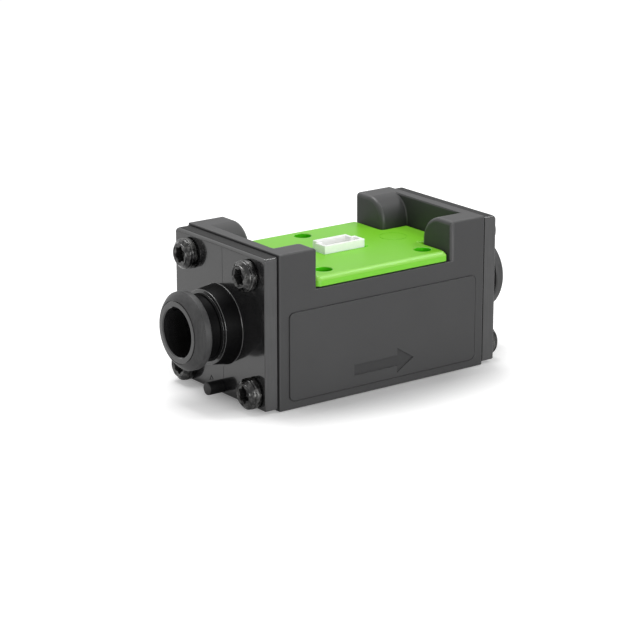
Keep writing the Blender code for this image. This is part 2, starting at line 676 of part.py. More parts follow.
def build_sensing_element(parent, carrier_finish, chip_finish, gasket_finish):
    """The blade that reaches from the board into the gas, its chip, and the gasket round its slot."""
    end = CARRIER_WIDTH / 2
    side = CARRIER_THICKNESS / 2
    foot = AXIS_HEIGHT - CARRIER_REACH
    blade = rectangle(SENSOR_OFFSET - end, SENSOR_OFFSET + end, -side, side)
    add_block("sensor_carrier", blade, foot, CARRIER_TOP, carrier_finish, parent)

    chip_end = CHIP_SIDE / 2
    back = -side - FIT_GAP
    chip = rectangle(SENSOR_OFFSET - chip_end, SENSOR_OFFSET + chip_end, back - CHIP_THICKNESS, back)
    add_block("sensor_chip", chip, AXIS_HEIGHT - chip_end, AXIS_HEIGHT + chip_end, chip_finish, parent)

    inner_end = end + FIT_GAP
    inner_side = side + FIT_GAP
    outline = rectangle(SENSOR_OFFSET - inner_end - GASKET_RIM, SENSOR_OFFSET + inner_end + GASKET_RIM,
                        -inner_side - GASKET_RIM, inner_side + GASKET_RIM, GASKET_RIM)
    gasket = add_block("carrier_gasket", outline, GASKET_LOW, CARRIER_TOP, gasket_finish, parent)
    slot = rectangle(SENSOR_OFFSET - inner_end, SENSOR_OFFSET + inner_end, -inner_side, inner_side)
    add_tool(gasket, "slot", prism(slot, "Z", GASKET_LOW - OVERCUT, CARRIER_TOP + OVERCUT))


def build_board_parts(parent, chip_finish, capacitor_finish):
    low = BOARD_TOP + FIT_GAP
    half = PROCESSOR_SIDE / 2
    processor = rectangle(-PROCESSOR_OFFSET - half, -PROCESSOR_OFFSET + half, -half, half)
    add_block("signal_processor", processor, low, low + PROCESSOR_HEIGHT, chip_finish, parent)
    long = REGULATOR_LENGTH / 2
    wide = REGULATOR_WIDTH / 2
    regulator = rectangle(REGULATOR_OFFSET - long, REGULATOR_OFFSET + long, -wide, wide)
    add_block("voltage_regulator", regulator, low, low + REGULATOR_HEIGHT, chip_finish, parent)
    radius = CAPACITOR_DIAMETER / 2
    high = low + CAPACITOR_HEIGHT
    profile = [(low, 0.0), (low, radius), (high, radius), (high, 0.0)]
    capacitor = shifted(stand_up(turned(profile, HOLE_STEPS)), (CAPACITOR_OFFSET, 0, 0))
    add_object("smoothing_capacitor", to_mesh("smoothing_capacitor", capacitor), capacitor_finish, parent)


def build_sensor():
    clear_objects()
    root = bpy.data.objects.new("gas_flow_sensor", None)
    bpy.context.scene.collection.objects.link(root)

    body_plastic = make_material("body_plastic", (0.055, 0.055, 0.056), 0.45)
    port_plastic = make_material("port_plastic", (0.014, 0.014, 0.015), 0.12)
    screw_steel = make_material("blackened_steel", (0.03, 0.03, 0.03), 0.25, 0.9)
    cover_plastic = make_material("cover_plastic", (0.22, 0.62, 0.08), 0.35)
    header_nylon = make_material("header_nylon", (0.80, 0.77, 0.72), 0.40)
    pin_tin = make_material("pin_tin", (0.70, 0.69, 0.66), 0.30, 1.0)
    board_laminate = make_material("board_laminate", (0.02, 0.16, 0.07), 0.40)
    carrier_ceramic = make_material("carrier_ceramic", (0.78, 0.77, 0.74), 0.50)
    silicon = make_material("silicon", (0.10, 0.11, 0.14), 0.15, 0.4)
    rubber = make_material("black_rubber", (0.02, 0.02, 0.02), 0.75)
    chip_epoxy = make_material("chip_epoxy", (0.02, 0.02, 0.02), 0.50)
    capacitor_can = make_material("capacitor_can", (0.62, 0.62, 0.62), 0.30, 1.0)
    screen_steel = make_material("screen_steel", (0.45, 0.45, 0.44), 0.35, 1.0)
    straightener_plastic = make_material("straightener_plastic", (0.05, 0.05, 0.05), 0.50)

    build_flow_body(root, body_plastic)
    build_fitting("inlet_fitting", -1, root, port_plastic)
    build_fitting("outlet_fitting", 1, root, port_plastic)
    build_fitting_screws(root, screw_steel)
    build_seals(root, rubber)
    build_flow_conditioning(root, screen_steel, straightener_plastic)
    build_cover(root, cover_plastic)
    build_cover_screws(root, screw_steel)
    build_header(root, header_nylon, pin_tin)
    build_board(root, board_laminate)
    build_sensing_element(root, carrier_ceramic, silicon, rubber)
    build_board_parts(root, chip_epoxy, capacitor_can)


build_sensor()
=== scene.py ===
"""Looks of a gas flow sensor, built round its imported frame.

Metres, +Z up. The origin is the centre of the base. Gas runs along +X, from inlet to outlet, and the
side with the flow arrow faces -Y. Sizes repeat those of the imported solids, apart from small fits to the
picture.
"""
import math

import bmesh
import bpy
from mathutils import Matrix, Vector


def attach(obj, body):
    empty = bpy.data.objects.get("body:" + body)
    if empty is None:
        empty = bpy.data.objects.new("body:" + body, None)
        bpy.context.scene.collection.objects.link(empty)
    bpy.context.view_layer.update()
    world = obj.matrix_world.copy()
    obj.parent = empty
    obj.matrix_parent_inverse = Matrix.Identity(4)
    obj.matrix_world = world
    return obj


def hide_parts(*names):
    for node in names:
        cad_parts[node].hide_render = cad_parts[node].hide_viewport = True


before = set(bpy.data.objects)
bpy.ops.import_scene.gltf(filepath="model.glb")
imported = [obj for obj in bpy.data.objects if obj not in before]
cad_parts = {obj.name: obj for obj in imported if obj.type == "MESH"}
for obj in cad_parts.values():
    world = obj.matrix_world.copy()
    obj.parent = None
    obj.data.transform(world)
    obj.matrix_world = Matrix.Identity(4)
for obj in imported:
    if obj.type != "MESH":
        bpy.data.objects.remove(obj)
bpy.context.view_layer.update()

MM = 0.001
TINY = 0.0001 * MM
FIT_GAP = 0.25 * MM
# How far a cutter reaches past what it cuts
OVERCUT = 2.0 * MM
# The least angle between two faces whose edge is rounded, and the least that is shaded as sharp
ROUNDED_ANGLE = math.radians(30)
SHARP_ANGLE = math.radians(36)

# Camera, fitted to the edges of the body in the picture
VIEW_AZIMUTH = math.radians(-36.5)
VIEW_ELEVATION = math.radians(16.76)
VIEW_DISTANCE = 476.9 * MM
VIEW_TARGET = Vector((-4.12, 0.0, 10.70)) * MM
LENS = 138.2
SENSOR = 36.0

# Studio. The floor's own light shows where rays see the floor itself. It grows with the distance from the
# sensor, so that the far floor is white; its weaker glow near the sensor is painted shade round it, beside
# the lamps' shadow
WHITE = (1.0, 1.0, 1.0)
BLACK = (0.0, 0.0, 0.0)
GLOW_NEAR = 0.065
GLOW_FAR = 0.45
GLOW_START = 20.0 * MM
GLOW_END = 40.0 * MM
AMBIENT = 0.20
FLOOR_REACH = 3.0
FLOOR_LOW = -2.0 * MM
FLOOR_TOP = -0.05 * MM
LAMPS_AIM = Vector((0.0, 0.0, 15.0)) * MM

# Flow body
BODY_END = 24.5 * MM
BODY_SIDE = 15.0 * MM
BODY_HEIGHT = 30.3 * MM
LEDGE_HEIGHT = 22.5 * MM
OPENING_END = 16.0 * MM
POST_INNER = 6.3 * MM
POST_ROUNDING = 5.0 * MM
POST_RISE = 0.02 * MM
END_WALL = 2.2 * MM
AXIS_HEIGHT = 14.17 * MM
OUTER_EDGE = 0.35 * MM
LEDGE_EDGE = 0.15 * MM
SEAM_EDGE = 0.25 * MM
POST_EDGE = 0.8 * MM
POST_SIDE_EDGE = 0.28 * MM
FAR_POST_EDGE = 0.95 * MM
FAR_REAR_EDGE = 0.65 * MM
CORNER_FILLET = 0.3 * MM
FILLET_FADE = 1.5 * MM
PANEL_END = 22.3 * MM
PANEL_LOW = 1.7 * MM
PANEL_TOP = 18.8 * MM
PANEL_RAISE = 0.25 * MM
PANEL_CORNER = 1.1 * MM
PANEL_GROOVE = 0.20 * MM
GROOVE_DEPTH = 0.12 * MM
PANEL_RIM = 0.15 * MM
ARROW_TAIL = -7.25 * MM
ARROW_TIP = 6.95 * MM
ARROW_NECK = 3.05 * MM
ARROW_HEAD = 2.42 * MM
ARROW_SHAFT = 1.03 * MM
ARROW_HEIGHT = 5.0 * MM
ARROW_DEPTH = 0.2 * MM
ARROW_LIP = 0.09 * MM
ARROW_INSET = 0.02 * MM

# Inside of the flow body: gas channel, pockets under the cover, blade slot and pilot holes
SEAT_RADIUS = 6.25 * MM
SEAT_END = 23.25 * MM
STRAIGHTENER_RADIUS = 5.5 * MM
STRAIGHTENER_END = 16.75 * MM
CHANNEL_RADIUS = 3.7 * MM
BOARD_POCKET = (14.55 * MM, 6.95 * MM)
PARTS_POCKET = (13.15 * MM, 5.55 * MM)
PARTS_POCKET_LOW = 18.9 * MM
BLADE_SLOT = (5.85 * MM, 11.55 * MM)
BLADE_SLOT_SIDE = 0.75 * MM
BLADE_SLOT_TOP = 19.15 * MM
COVER_PILOT = 1.15 * MM
COVER_PILOT_LOW = 16.3 * MM
FITTING_HOLE = 1.5 * MM
FITTING_PILOT_START = 17.0 * MM

# Port fitting, measured from the inner face of its plate
PLATE_INNER = 24.8 * MM
PLATE_THICKNESS = 2.8 * MM
PLATE_SIDE = 14.7 * MM
PLATE_LOW = 0.53 * MM
PLATE_TOP = 29.93 * MM
PLATE_TOP_EDGE = 0.5 * MM
PLATE_CORNER = 0.75 * MM
PLATE_SIDE_EDGE = 0.15 * MM
PLATE_LOW_EDGE = 0.3 * MM
PLATE_SEAM_EDGE = 0.06 * MM
PARTING_PLACE = 1.05 * MM
PARTING_SPANS = ((22.3 * MM, 31.0 * MM), (3.4 * MM, 6.0 * MM))
PARTING_WIDTH = 0.09 * MM
PARTING_DEPTH = 0.05 * MM
TRIANGLE = ((-3.8 * MM, 2.1 * MM), (-2.2 * MM, 2.4 * MM), (-3.0 * MM, 3.3 * MM))
TRIANGLE_LINE = 0.18 * MM
TRIANGLE_DEPTH = 0.12 * MM
SEAL_GROOVE = (7.05 * MM, 8.75 * MM)
SEAL_GROOVE_DEPTH = 1.45 * MM
PORT_FOOT = 8.0 * MM
PORT_BORE = 4.75 * MM
MOUTH_RADIUS = 4.97 * MM
MOUTH_START = 12.3 * MM
MOUTH_END = 12.52 * MM
BORE_CUT_END = 16.0 * MM
HOSE_END_START = 9.5 * MM
HOSE_END_INNER = 5.95 * MM
PEG_LENGTH = 3.2 * MM
PEG_HEIGHT = 1.85 * MM
PEG_RADIUS = 1.25 * MM
PEG_ROOT = 1.4 * MM
PEG_TIP_EDGE = 0.3 * MM
# Spans of the collar and neck walls that take a darker copy of the plastic: painted shade
PAINTED_SHADE_SPANS = ((3.0 * MM, 6.13 * MM), (6.35 * MM, 8.7 * MM))
PAINTED_SHADE_INNER = PORT_BORE + 0.5 * MM

# Screws
SCREW_TOP_SIDE = 9.8 * MM
SCREW_LOW_SIDE = 11.0 * MM
SCREW_LOW = 3.45 * MM
SCREW_HIGH = 25.9 * MM
SCREW_SEAT = PLATE_INNER + PLATE_THICKNESS + FIT_GAP
COVER_SCREW_PLACES = ((-11.3 * MM, -10.8 * MM), (12.5 * MM, -10.8 * MM), (0.0, 11.3 * MM))
COVER_SCREW_SEAT = 21.9 * MM
SHANK_RADIUS = 1.25 * MM
SHANK_LENGTH = 10.0 * MM
RECESS_RADIUS = 1.66 * MM
RECESS_DEPTH = 1.5 * MM
RECESS_TOP = 2.0 * MM
SMALL_SHANK_RADIUS = 0.9 * MM
SMALL_SHANK_LENGTH = 5.0 * MM
SMALL_RECESS_RADIUS = 0.72 * MM
SMALL_RECESS_DEPTH = 0.45 * MM
SMALL_RECESS_TOP = 0.95 * MM
RECESS_RIM = 0.02 * MM
SCREW_TURN = 0.5

# Cover
COVER_LOW = 22.70 * MM
COVER_TOP = 24.6 * MM
COVER_SIDE = 14.8 * MM
COVER_END_GAP = 0.25 * MM
COVER_EDGE = 0.85 * MM
COVER_CORNER = 1.1 * MM
TONGUE_FILLET = 0.15 * MM
COVER_HOLE = 1.85 * MM
COVER_HOLE_RIM = 0.2 * MM
COVER_HOLE_CHAMFER = 0.12 * MM
BOSS_LOW = 20.75 * MM
BOSS_FLOOR = 21.65 * MM
BOSS_RADIUS = 2.6 * MM
RING_PLACE = (14.0 * MM, 0.4 * MM)
RING_RADIUS = 2.8 * MM
RING_DEPTH = 0.06 * MM
RING_LINE = 0.14 * MM
RING_FLARE = 0.1 * MM
SLOT_END = 5.6 * MM
SLOT_REAR = -2.2 * MM
WINDOW_SIDE = 3.0 * MM

# Board, header and pins
BOARD_LOW = 20.1 * MM
HEADER_LOW = 21.35 * MM
HEADER_TOP = 26.15 * MM
HEADER_WALL = 0.6 * MM
HEADER_FLOOR = HEADER_LOW + 1.0 * MM
HEADER_LONG_END = 4.8 * MM
HEADER_SHORT_END = 4.0 * MM
HEADER_FRONT = -2.5 * MM
HEADER_REAR = 2.6 * MM
HEADER_NOTCH = 0.7 * MM
HEADER_EDGE = 0.12 * MM
WELL_SIDE = 0.55 * MM
PIN_COUNT = 4
PIN_PITCH = 2.0 * MM
PIN_PLACE = 0.05 * MM
PIN_SIDE = 0.3 * MM
PIN_TIP_SIDE = 0.12 * MM
PIN_TIP_LENGTH = 0.4 * MM
PIN_TIP_LAP = 0.001 * MM
PIN_EDGE = 0.05 * MM
PIN_TIP_EDGE = 0.02 * MM
PIN_FOOT_EDGE = 0.08 * MM
PIN_LOW = BOARD_LOW - 0.4 * MM
PIN_HIGH = HEADER_LOW + 3.6 * MM


def arc(centre, radius, start, end, steps):
    """Points on an arc about centre, from start to end in degrees."""
    angles = [math.radians(start + (end - start) * step / steps) for step in range(steps + 1)]
    return [(centre[0] + radius * math.cos(a), centre[1] + radius * math.sin(a)) for a in angles]


def fillet(before, corner, after, radius, steps):
    """Points of the arc that rounds one corner of an outline."""
    back = (before - corner).normalized()
    ahead = (after - corner).normalized()
    half = back.angle(ahead) / 2
    centre = corner + (back + ahead).normalized() * radius / math.sin(half)
    first = (corner + back * radius / math.tan(half) - centre).normalized()
    last = (corner + ahead * radius / math.tan(half) - centre).normalized()
    return [tuple(centre + radius * first.slerp(last, step / steps)) for step in range(steps + 1)]


def rounded(corners, steps=8):
    """A closed outline from (a, b, radius) corners."""
    outline = []
    for index, (a, b, radius) in enumerate(corners):
        if radius == 0.0:
            outline.append((a, b))
            continue
        before = Vector(corners[index - 1][:2])
        after = Vector(corners[(index + 1) % len(corners)][:2])
        outline += fillet(before, Vector((a, b)), after, radius, steps)
    return outline


def bow(start, end, rise, steps=10):
    """Points of a shallow arc between two points, whose middle stands out by a rise."""
    first = Vector(start)
    last = Vector(end)
    half = (last - first).length / 2
    radius = (half * half + rise * rise) / (2 * rise)
    out = Vector((first.y - last.y, last.x - first.x)).normalized()
    centre = (first + last) / 2 - out * (radius - rise)
    from_first = (first - centre).normalized()
    to_last = (last - centre).normalized()
    return [tuple(centre + radius * from_first.slerp(to_last, step / steps)) for step in range(steps + 1)]


def softened(corners, steps=4):
    """An open profile from (along, out, radius) corners in millimetres, given back in metres."""
    profile = [corners[0][:2]]
    for before, corner, after in zip(corners, corners[1:], corners[2:]):
        if corner[2] == 0.0:
            profile.append(corner[:2])
            continue
        profile += fillet(Vector(before[:2]), Vector(corner[:2]), Vector(after[:2]), corner[2], steps)
    profile.append(corners[-1][:2])
    return [(along * MM, out * MM) for along, out in profile]


def rectangle(low_a, high_a, low_b, high_b, radius=0.0):
    corners = [(low_a, low_b), (high_a, low_b), (high_a, high_b), (low_a, high_b)]
    return rounded([(a, b, radius) for a, b in corners])


def outward(bm):
    bmesh.ops.recalc_face_normals(bm, faces=bm.faces)
    return bm


def loft(rings, axis):
    """A closed shape through (outline, level) rings stacked along an axis, each with as many points."""
    bm = bmesh.new()
    places = {"X": lambda a, b, c: (c, a, b), "Y": lambda a, b, c: (a, c, b), "Z": lambda a, b, c: (a, b, c)}
    loops = [[bm.verts.new(places[axis](a, b, level)) for a, b in outline] for outline, level in rings]
    for near, far in zip(loops, loops[1:]):
        for index in range(len(near)):
            after = (index + 1) % len(near)
            bm.faces.new((near[index], near[after], far[after], far[index]))
    bm.faces.new(loops[0])
    bm.faces.new(loops[-1])
    return outward(bm)


def prism(outline, axis, low, high):
    return loft([(outline, low), (outline, high)], axis)


def grown(outline, distance):
    """A straight-sided outline, anticlockwise, with each side moved out by a distance."""
    moved = []
    for index, point in enumerate(outline):
        here = Vector(point)
        back = (here - Vector(outline[index - 1])).normalized()
        ahead = (Vector(outline[(index + 1) % len(outline)]) - here).normalized()
        out_back = Vector((back.y, -back.x))
        out_ahead = Vector((ahead.y, -ahead.x))
        both = (out_back + out_ahead).normalized()
        moved.append(tuple(here + both * distance / both.dot(out_ahead)))
    return moved


def turned(profile, steps, lobes=None):
    """(along X, radius) points turned about X. For a six-lobe recess, lobes has the swing at each point."""
    bm = bmesh.new()
    loops = []
    for index, (along, radius) in enumerate(profile):
        if radius < TINY:
            loops.append([bm.verts.new((along, 0.0, 0.0))])
            continue
        swing = lobes[index] if lobes else 0.0
        loop = []
        for step in range(steps):
            angle = math.tau * step / steps
            reach = radius * (1 - swing + swing * math.cos(6 * angle))
            loop.append(bm.verts.new((along, reach * math.cos(angle), reach * math.sin(angle))))
        loops.append(loop)
    for near, far in zip(loops, loops[1:]):
        for step in range(steps):
            after = (step + 1) % steps
            ring = [near[step % len(near)], near[after % len(near)],
                    far[after % len(far)], far[step % len(far)]]
            bm.faces.new(list(dict.fromkeys(ring)))
    for end in (loops[0], loops[-1]):
        if len(end) > 1:
            bm.faces.new(end)
    return outward(bm)


def hollow_ring(section, steps):
    """A closed (along, radius) section turned about X."""
    bm = bmesh.new()
    loops = []
    for step in range(steps):
        angle = math.tau * step / steps
        loops.append([bm.verts.new((a, r * math.cos(angle), r * math.sin(angle))) for a, r in section])
    for index, near in enumerate(loops):
        far = loops[(index + 1) % steps]
        for point in range(len(section)):
            after = (point + 1) % len(section)
            bm.faces.new((near[point], near[after], far[after], far[point]))
    return outward(bm)


def rod(radius, low, high):
    """The profile of a plain round bar."""
    return [(low, 0.0), (low, radius), (high, radius), (high, 0.0)]


def stand_up(bm):
    """Turns a shape made along X so that it stands along Z."""
    bmesh.ops.rotate(bm, verts=bm.verts, cent=(0, 0, 0), matrix=Matrix.Rotation(-math.pi / 2, 3, "Y"))
    return bm


def shifted(bm, offset):
    bmesh.ops.translate(bm, verts=bm.verts, vec=offset)
    return bm


def joined(shapes):
    """Several closed shapes in one mesh."""
    whole = bmesh.new()
    for shape in shapes:
        mesh = bpy.data.meshes.new("shape")
        shape.to_mesh(mesh)
        whole.from_mesh(mesh)
        bpy.data.meshes.remove(mesh)
        shape.free()
    return whole


def add_object(name, data):
    """Puts an object with a mesh, lamp or camera into the scene."""
    made = bpy.data.objects.new(name, data)
    bpy.context.scene.collection.objects.link(made)
    return made


def add_piece(name, bm, slots=0):
    """An object with a shape for its mesh and a number of slots for finishes."""
    mesh = bpy.data.meshes.new(name)
    bm.to_mesh(mesh)
    bm.free()
    for _ in range(slots):
        mesh.materials.append(None)
    return add_object(name, mesh)


def settle(piece):
    """Keeps the piece as its modifiers show it, as a plain mesh, and removes them."""
    piece_now = piece.evaluated_get(bpy.context.evaluated_depsgraph_get())
    mesh = bpy.data.meshes.new_from_object(piece_now)
    piece.modifiers.clear()
    old = piece.data
    piece.data = mesh
    bpy.data.meshes.remove(old)
    mesh.name = piece.name


def carve(piece, bm, operation="DIFFERENCE", finish_index=0):
    """Cuts a shape from the piece, or joins it on, for good. Its faces take one of the piece's finishes."""
    for face in bm.faces:
        face.material_index = finish_index
    tool = add_piece("tool", bm, len(piece.data.materials))
    step = piece.modifiers.new("carve", "BOOLEAN")
    step.operation = operation
    step.solver = "EXACT"
    step.object = tool
    settle(piece)
    bpy.data.objects.remove(tool, do_unlink=True)


def soften_edges(piece, width_of, widest, segments):
    """Rounds each edge by the width that width_of gives. The new faces take the piece's second finish."""
    bm = bmesh.new()
    bm.from_mesh(piece.data)
    bmesh.ops.remove_doubles(bm, verts=bm.verts, dist=TINY)
    bmesh.ops.dissolve_limit(bm, angle_limit=math.radians(1), verts=bm.verts, edges=bm.edges)
    weight = bm.edges.layers.float.new("bevel_weight_edge")
    for edge in bm.edges:
        if len(edge.link_faces) == 2 and edge.calc_face_angle(0.0) > ROUNDED_ANGLE:
            edge[weight] = width_of(edge) / widest
    bm.to_mesh(piece.data)
    bm.free()
    bevel = piece.modifiers.new("edges", "BEVEL")
    bevel.limit_method = "WEIGHT"
    bevel.width = widest
    bevel.segments = segments
    bevel.use_clamp_overlap = False
    bevel.material = 1
    settle(piece)


def sort_faces(piece, index_of):
    """Gives each face the finish that index_of names for its middle and its direction."""
    for polygon in piece.data.polygons:
        polygon.material_index = index_of(polygon.center, polygon.normal)


def show(piece, slot, finishes, *nodes):
    """Gives a piece its finishes and smooth shading, and lets it stand for its nodes."""
    while len(piece.data.materials) < len(finishes):
        piece.data.materials.append(None)
    for index, finish in enumerate(finishes):
        piece.data.materials[index] = finish
    bm = bmesh.new()
    bm.from_mesh(piece.data)
    bmesh.ops.remove_doubles(bm, verts=bm.verts, dist=TINY)
    bm.to_mesh(piece.data)
    bm.free()
    piece.data.shade_smooth()
    piece.data.set_sharp_from_angle(angle=SHARP_ANGLE)
    shading = piece.modifiers.new("shading", "WEIGHTED_NORMAL")
    shading.keep_sharp = True
    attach(piece, "root")
    if nodes:
        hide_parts(*nodes)
    return piece


class Reading:
    """A number that changes over a surface. Arithmetic on it adds Math nodes."""

    def __init__(self, nodes, socket):
        self.nodes = nodes
        self.socket = socket

    def result(self, operation, *numbers):
        made = self.nodes.add("ShaderNodeMath", {"operation": operation}, dict(enumerate(numbers)))
        return Reading(self.nodes, made.outputs["Value"])

    def __add__(self, other):
        return self.result("ADD", self, other)

    def __sub__(self, other):
        return self.result("SUBTRACT", self, other)

    def __mul__(self, other):
        return self.result("MULTIPLY", self, other)

    def __gt__(self, other):
        return self.result("GREATER_THAN", self, other)

    __radd__ = __add__
    __rmul__ = __mul__


class NodeTree:
    """A tree of nodes, with the methods that add to it."""

    def __init__(self, tree):
        self.tree = tree

    def add(self, kind, settings=None, sockets=None):
        """Adds a node of a kind: first its settings, then the values or links of its sockets."""
        made = self.tree.nodes.new(kind)
        for key, value in (settings or {}).items():
            setattr(made, key, value)
        for key, value in (sockets or {}).items():
            self.feed(made.inputs[key], value)
        return made

    def feed(self, socket, value):
        source = value.socket if isinstance(value, Reading) else value
        if isinstance(source, bpy.types.NodeSocket):
            self.tree.links.new(source, socket)
        else:
            socket.default_value = source


class Finish(NodeTree):
    """A material with a Principled shader. Constants name its sockets, with _ for each space."""

    def __init__(self, name, **constants):
        self.material = bpy.data.materials.new(name)
        self.material.use_nodes = True
        super().__init__(self.material.node_tree)
        self.shader = self.tree.nodes["Principled BSDF"]
        for socket, value in constants.items():
            self.shader.inputs[socket.replace("_", " ")].default_value = value

    def place(self, stretch=(1.0, 1.0, 1.0)):
        """Object coordinates, with a stretch along each axis."""
        where = self.add("ShaderNodeTexCoord").outputs["Object"]
        return self.add("ShaderNodeMapping", None, {"Vector": where, "Scale": stretch}).outputs["Vector"]

    def noise(self, size, detail=2.0, stretch=(1.0, 1.0, 1.0)):
        """A mottle from 0 to 1 with blotches about size across."""
        made = self.add("ShaderNodeTexNoise", None, {"Vector": self.place(stretch), "Scale": 1 / size,
                                                      "Detail": detail})
        return Reading(self, made.outputs["Fac"])

    def cells(self, size, stretch=(1.0, 1.0, 1.0)):
        """Distance from the nearest of many scattered points, about 0 to 1."""
        made = self.add("ShaderNodeTexVoronoi", None, {"Vector": self.place(stretch), "Scale": 1 / size})
        return Reading(self, made.outputs["Distance"])

    def blend(self, factor, first, second):
        made = self.add("ShaderNodeMix", {"data_type": "RGBA"},
                        {0: factor, 6: (*first, 1.0), 7: (*second, 1.0)})
        return made.outputs[2]

    def colour(self, factor, first, second):
        self.feed(self.shader.inputs["Base Color"], self.blend(factor, first, second))

    def roughness(self, value):
        self.feed(self.shader.inputs["Roughness"], value)

    def relief(self, height, depth):
        """Surface relief whose height runs over a depth."""
        bump = self.add("ShaderNodeBump", None, {"Height": height, "Distance": depth, "Strength": 1.0})
        self.feed(self.shader.inputs["Normal"], bump.outputs["Normal"])


def moulded(name, dark, light, rough, grain, depth, specular=0.5, **constants):
    """Moulded plastic or rubber: cloudy colour, uneven gloss, and a grain in millimetres from its mould."""
    finish = Finish(name, Specular_IOR_Level=specular, **constants)
    drift = finish.noise(9.0 * MM, 3.0)
    speck = finish.noise(4 * (grain * MM), 3.0)
    finish.colour(drift * 0.7 + speck * 0.3, dark, light)
    finish.roughness(rough - 0.06 + 0.08 * drift + 0.06 * speck)
    finish.relief(finish.noise(grain * MM, 3.0), depth * MM)
    return finish.material


def drawn_metal(name, dark, light, rough, grain, depth, stretch):
    """Bare metal with fine marks along its working direction, in millimetres."""
    finish = Finish(name, Metallic=1.0)
    drift = finish.noise(1.5 * MM, 3.0)
    marks = finish.noise(grain * MM, 3.0, stretch)
    finish.colour(drift * 0.6 + marks * 0.4, dark, light)
    finish.roughness(rough - 0.08 + 0.10 * drift + 0.08 * marks)
    finish.relief(marks + 0.5 * drift, depth * MM)
    return finish.material


def blackened_steel():
    """Near-black screw steel with brighter patches and streaks in its colour: painted highlights for the
    glints on its heads.
    """
    finish = Finish("blackened_steel_screws", Metallic=0.65, Coat_Weight=0.6, Coat_Roughness=0.08)
    patches = finish.noise(1.4 * MM, 3.0)
    marks = finish.noise(0.7 * MM, 4.0)
    # Painted highlights: the colour brightens in patches and streaks
    painted_highlights = (patches * 0.6 + marks * 0.4 - 0.45) * 6.0
    finish.colour(painted_highlights, (0.003, 0.003, 0.0031), (0.098, 0.097, 0.094))
    finish.roughness(0.06 + 0.10 * patches + 0.10 * marks)
    finish.relief(marks + 0.5 * patches, 0.14 * MM)
    return finish.material


def glossy_port_plastic():
    """Glass-smooth black plastic with faint upright polishing marks from its mould."""
    finish = Finish("glossy_port_plastic", Coat_Weight=0.93, Coat_Roughness=0.08)
    drift = finish.noise(6 * MM, 3.0)
    polish = finish.noise(0.5 * MM, 5.0, (1.0, 1.0, 0.05))
    speck = finish.noise(0.12 * MM, 2.0)
    finish.colour(drift * 0.4 + polish * 0.6, (0.005, 0.005, 0.0052), (0.034, 0.034, 0.035))
    finish.roughness(0.09 + 0.07 * drift + 0.10 * polish)
    finish.relief(polish + 0.3 * speck, 0.0018 * MM)
    return finish.material


def drawn_plastic(name, dark, light, rough, specular):
    """Black plastic with the upright marks of a mould wall that it slid along."""
    finish = Finish(name, Specular_IOR_Level=specular)
    drift = finish.noise(4 * MM, 3.0)
    streak = finish.noise(0.45 * MM, 5.0, (1.0, 1.0, 0.06))
    finish.colour(drift * 0.4 + streak * 0.6, dark, light)
    finish.roughness(rough - 0.10 + 0.06 * drift + 0.18 * streak)
    finish.relief(streak, 0.003 * MM)
    return finish.material


def board_laminate():
    """Green solder mask over a glass weave, with paler copper tracks under it."""
    finish = Finish("board_laminate_mask")
    across, along = [finish.add("ShaderNodeTexWave", {"wave_type": "BANDS", "bands_direction": direction},
                                {"Vector": finish.place(), "Scale": 260.0, "Distortion": 0.0})
                     for direction in ("X", "Y")]
    weave = Reading(finish, across.outputs["Fac"]) * Reading(finish, along.outputs["Fac"])
    tracks = finish.cells(2.2 * MM, (1.0, 0.45, 1.0)) > 0.42
    finish.colour(tracks * 0.7 + weave * 0.3, (0.008, 0.07, 0.03), (0.03, 0.19, 0.08))
    finish.roughness(0.28 + 0.1 * weave + 0.08 * tracks)
    finish.relief(tracks + 0.2 * weave, 0.02 * MM)
    return finish.material


def polished_silicon():
    finish = Finish("polished_silicon", Metallic=0.4)
    field = finish.cells(0.35 * MM) > 0.35
    haze = finish.noise(0.2 * MM, 2.0)
    finish.colour(field * 0.7 + haze * 0.3, (0.04, 0.05, 0.08), (0.16, 0.15, 0.20))
    finish.roughness(0.10 + 0.12 * haze)
    finish.relief(field, 0.004 * MM)
    return finish.material


def add_camera():
    camera = add_object("camera", bpy.data.cameras.new("camera"))
    back = Vector((math.sin(VIEW_AZIMUTH) * math.cos(VIEW_ELEVATION),
                   -math.cos(VIEW_AZIMUTH) * math.cos(VIEW_ELEVATION), math.sin(VIEW_ELEVATION)))
    camera.location = VIEW_TARGET + back * VIEW_DISTANCE
    camera.rotation_mode = "QUATERNION"
    camera.rotation_quaternion = (-back).to_track_quat("-Z", "Y")
    camera.data.sensor_width = SENSOR
    camera.data.lens = LENS
    camera.data.clip_start = 0.01
    camera.data.clip_end = 20.0
    bpy.context.scene.camera = camera


def add_softbox(name, towards, distance, width, height, power):
    """An area lamp in a direction from the middle of the object, facing it."""
    lamp = bpy.data.lights.new(name, "AREA")
    lamp.shape = "RECTANGLE"
    lamp.size = width
    lamp.size_y = height
    lamp.energy = power
    box = add_object(name, lamp)
    direction = Vector(towards).normalized()
    box.location = LAMPS_AIM + direction * distance
    box.rotation_mode = "QUATERNION"
    box.rotation_quaternion = direction.to_track_quat("Z", "Y")


def seen_directly(nodes):
    """1 for rays that show the background itself: the camera's, and those mirrored or let through."""
    path = nodes.add("ShaderNodeLightPath")
    seen = Reading(nodes, path.outputs["Is Camera Ray"]) + Reading(nodes, path.outputs["Is Glossy Ray"])
    seen = seen + Reading(nodes, path.outputs["Is Transmission Ray"])
    return seen.result("MINIMUM", seen, 1.0)


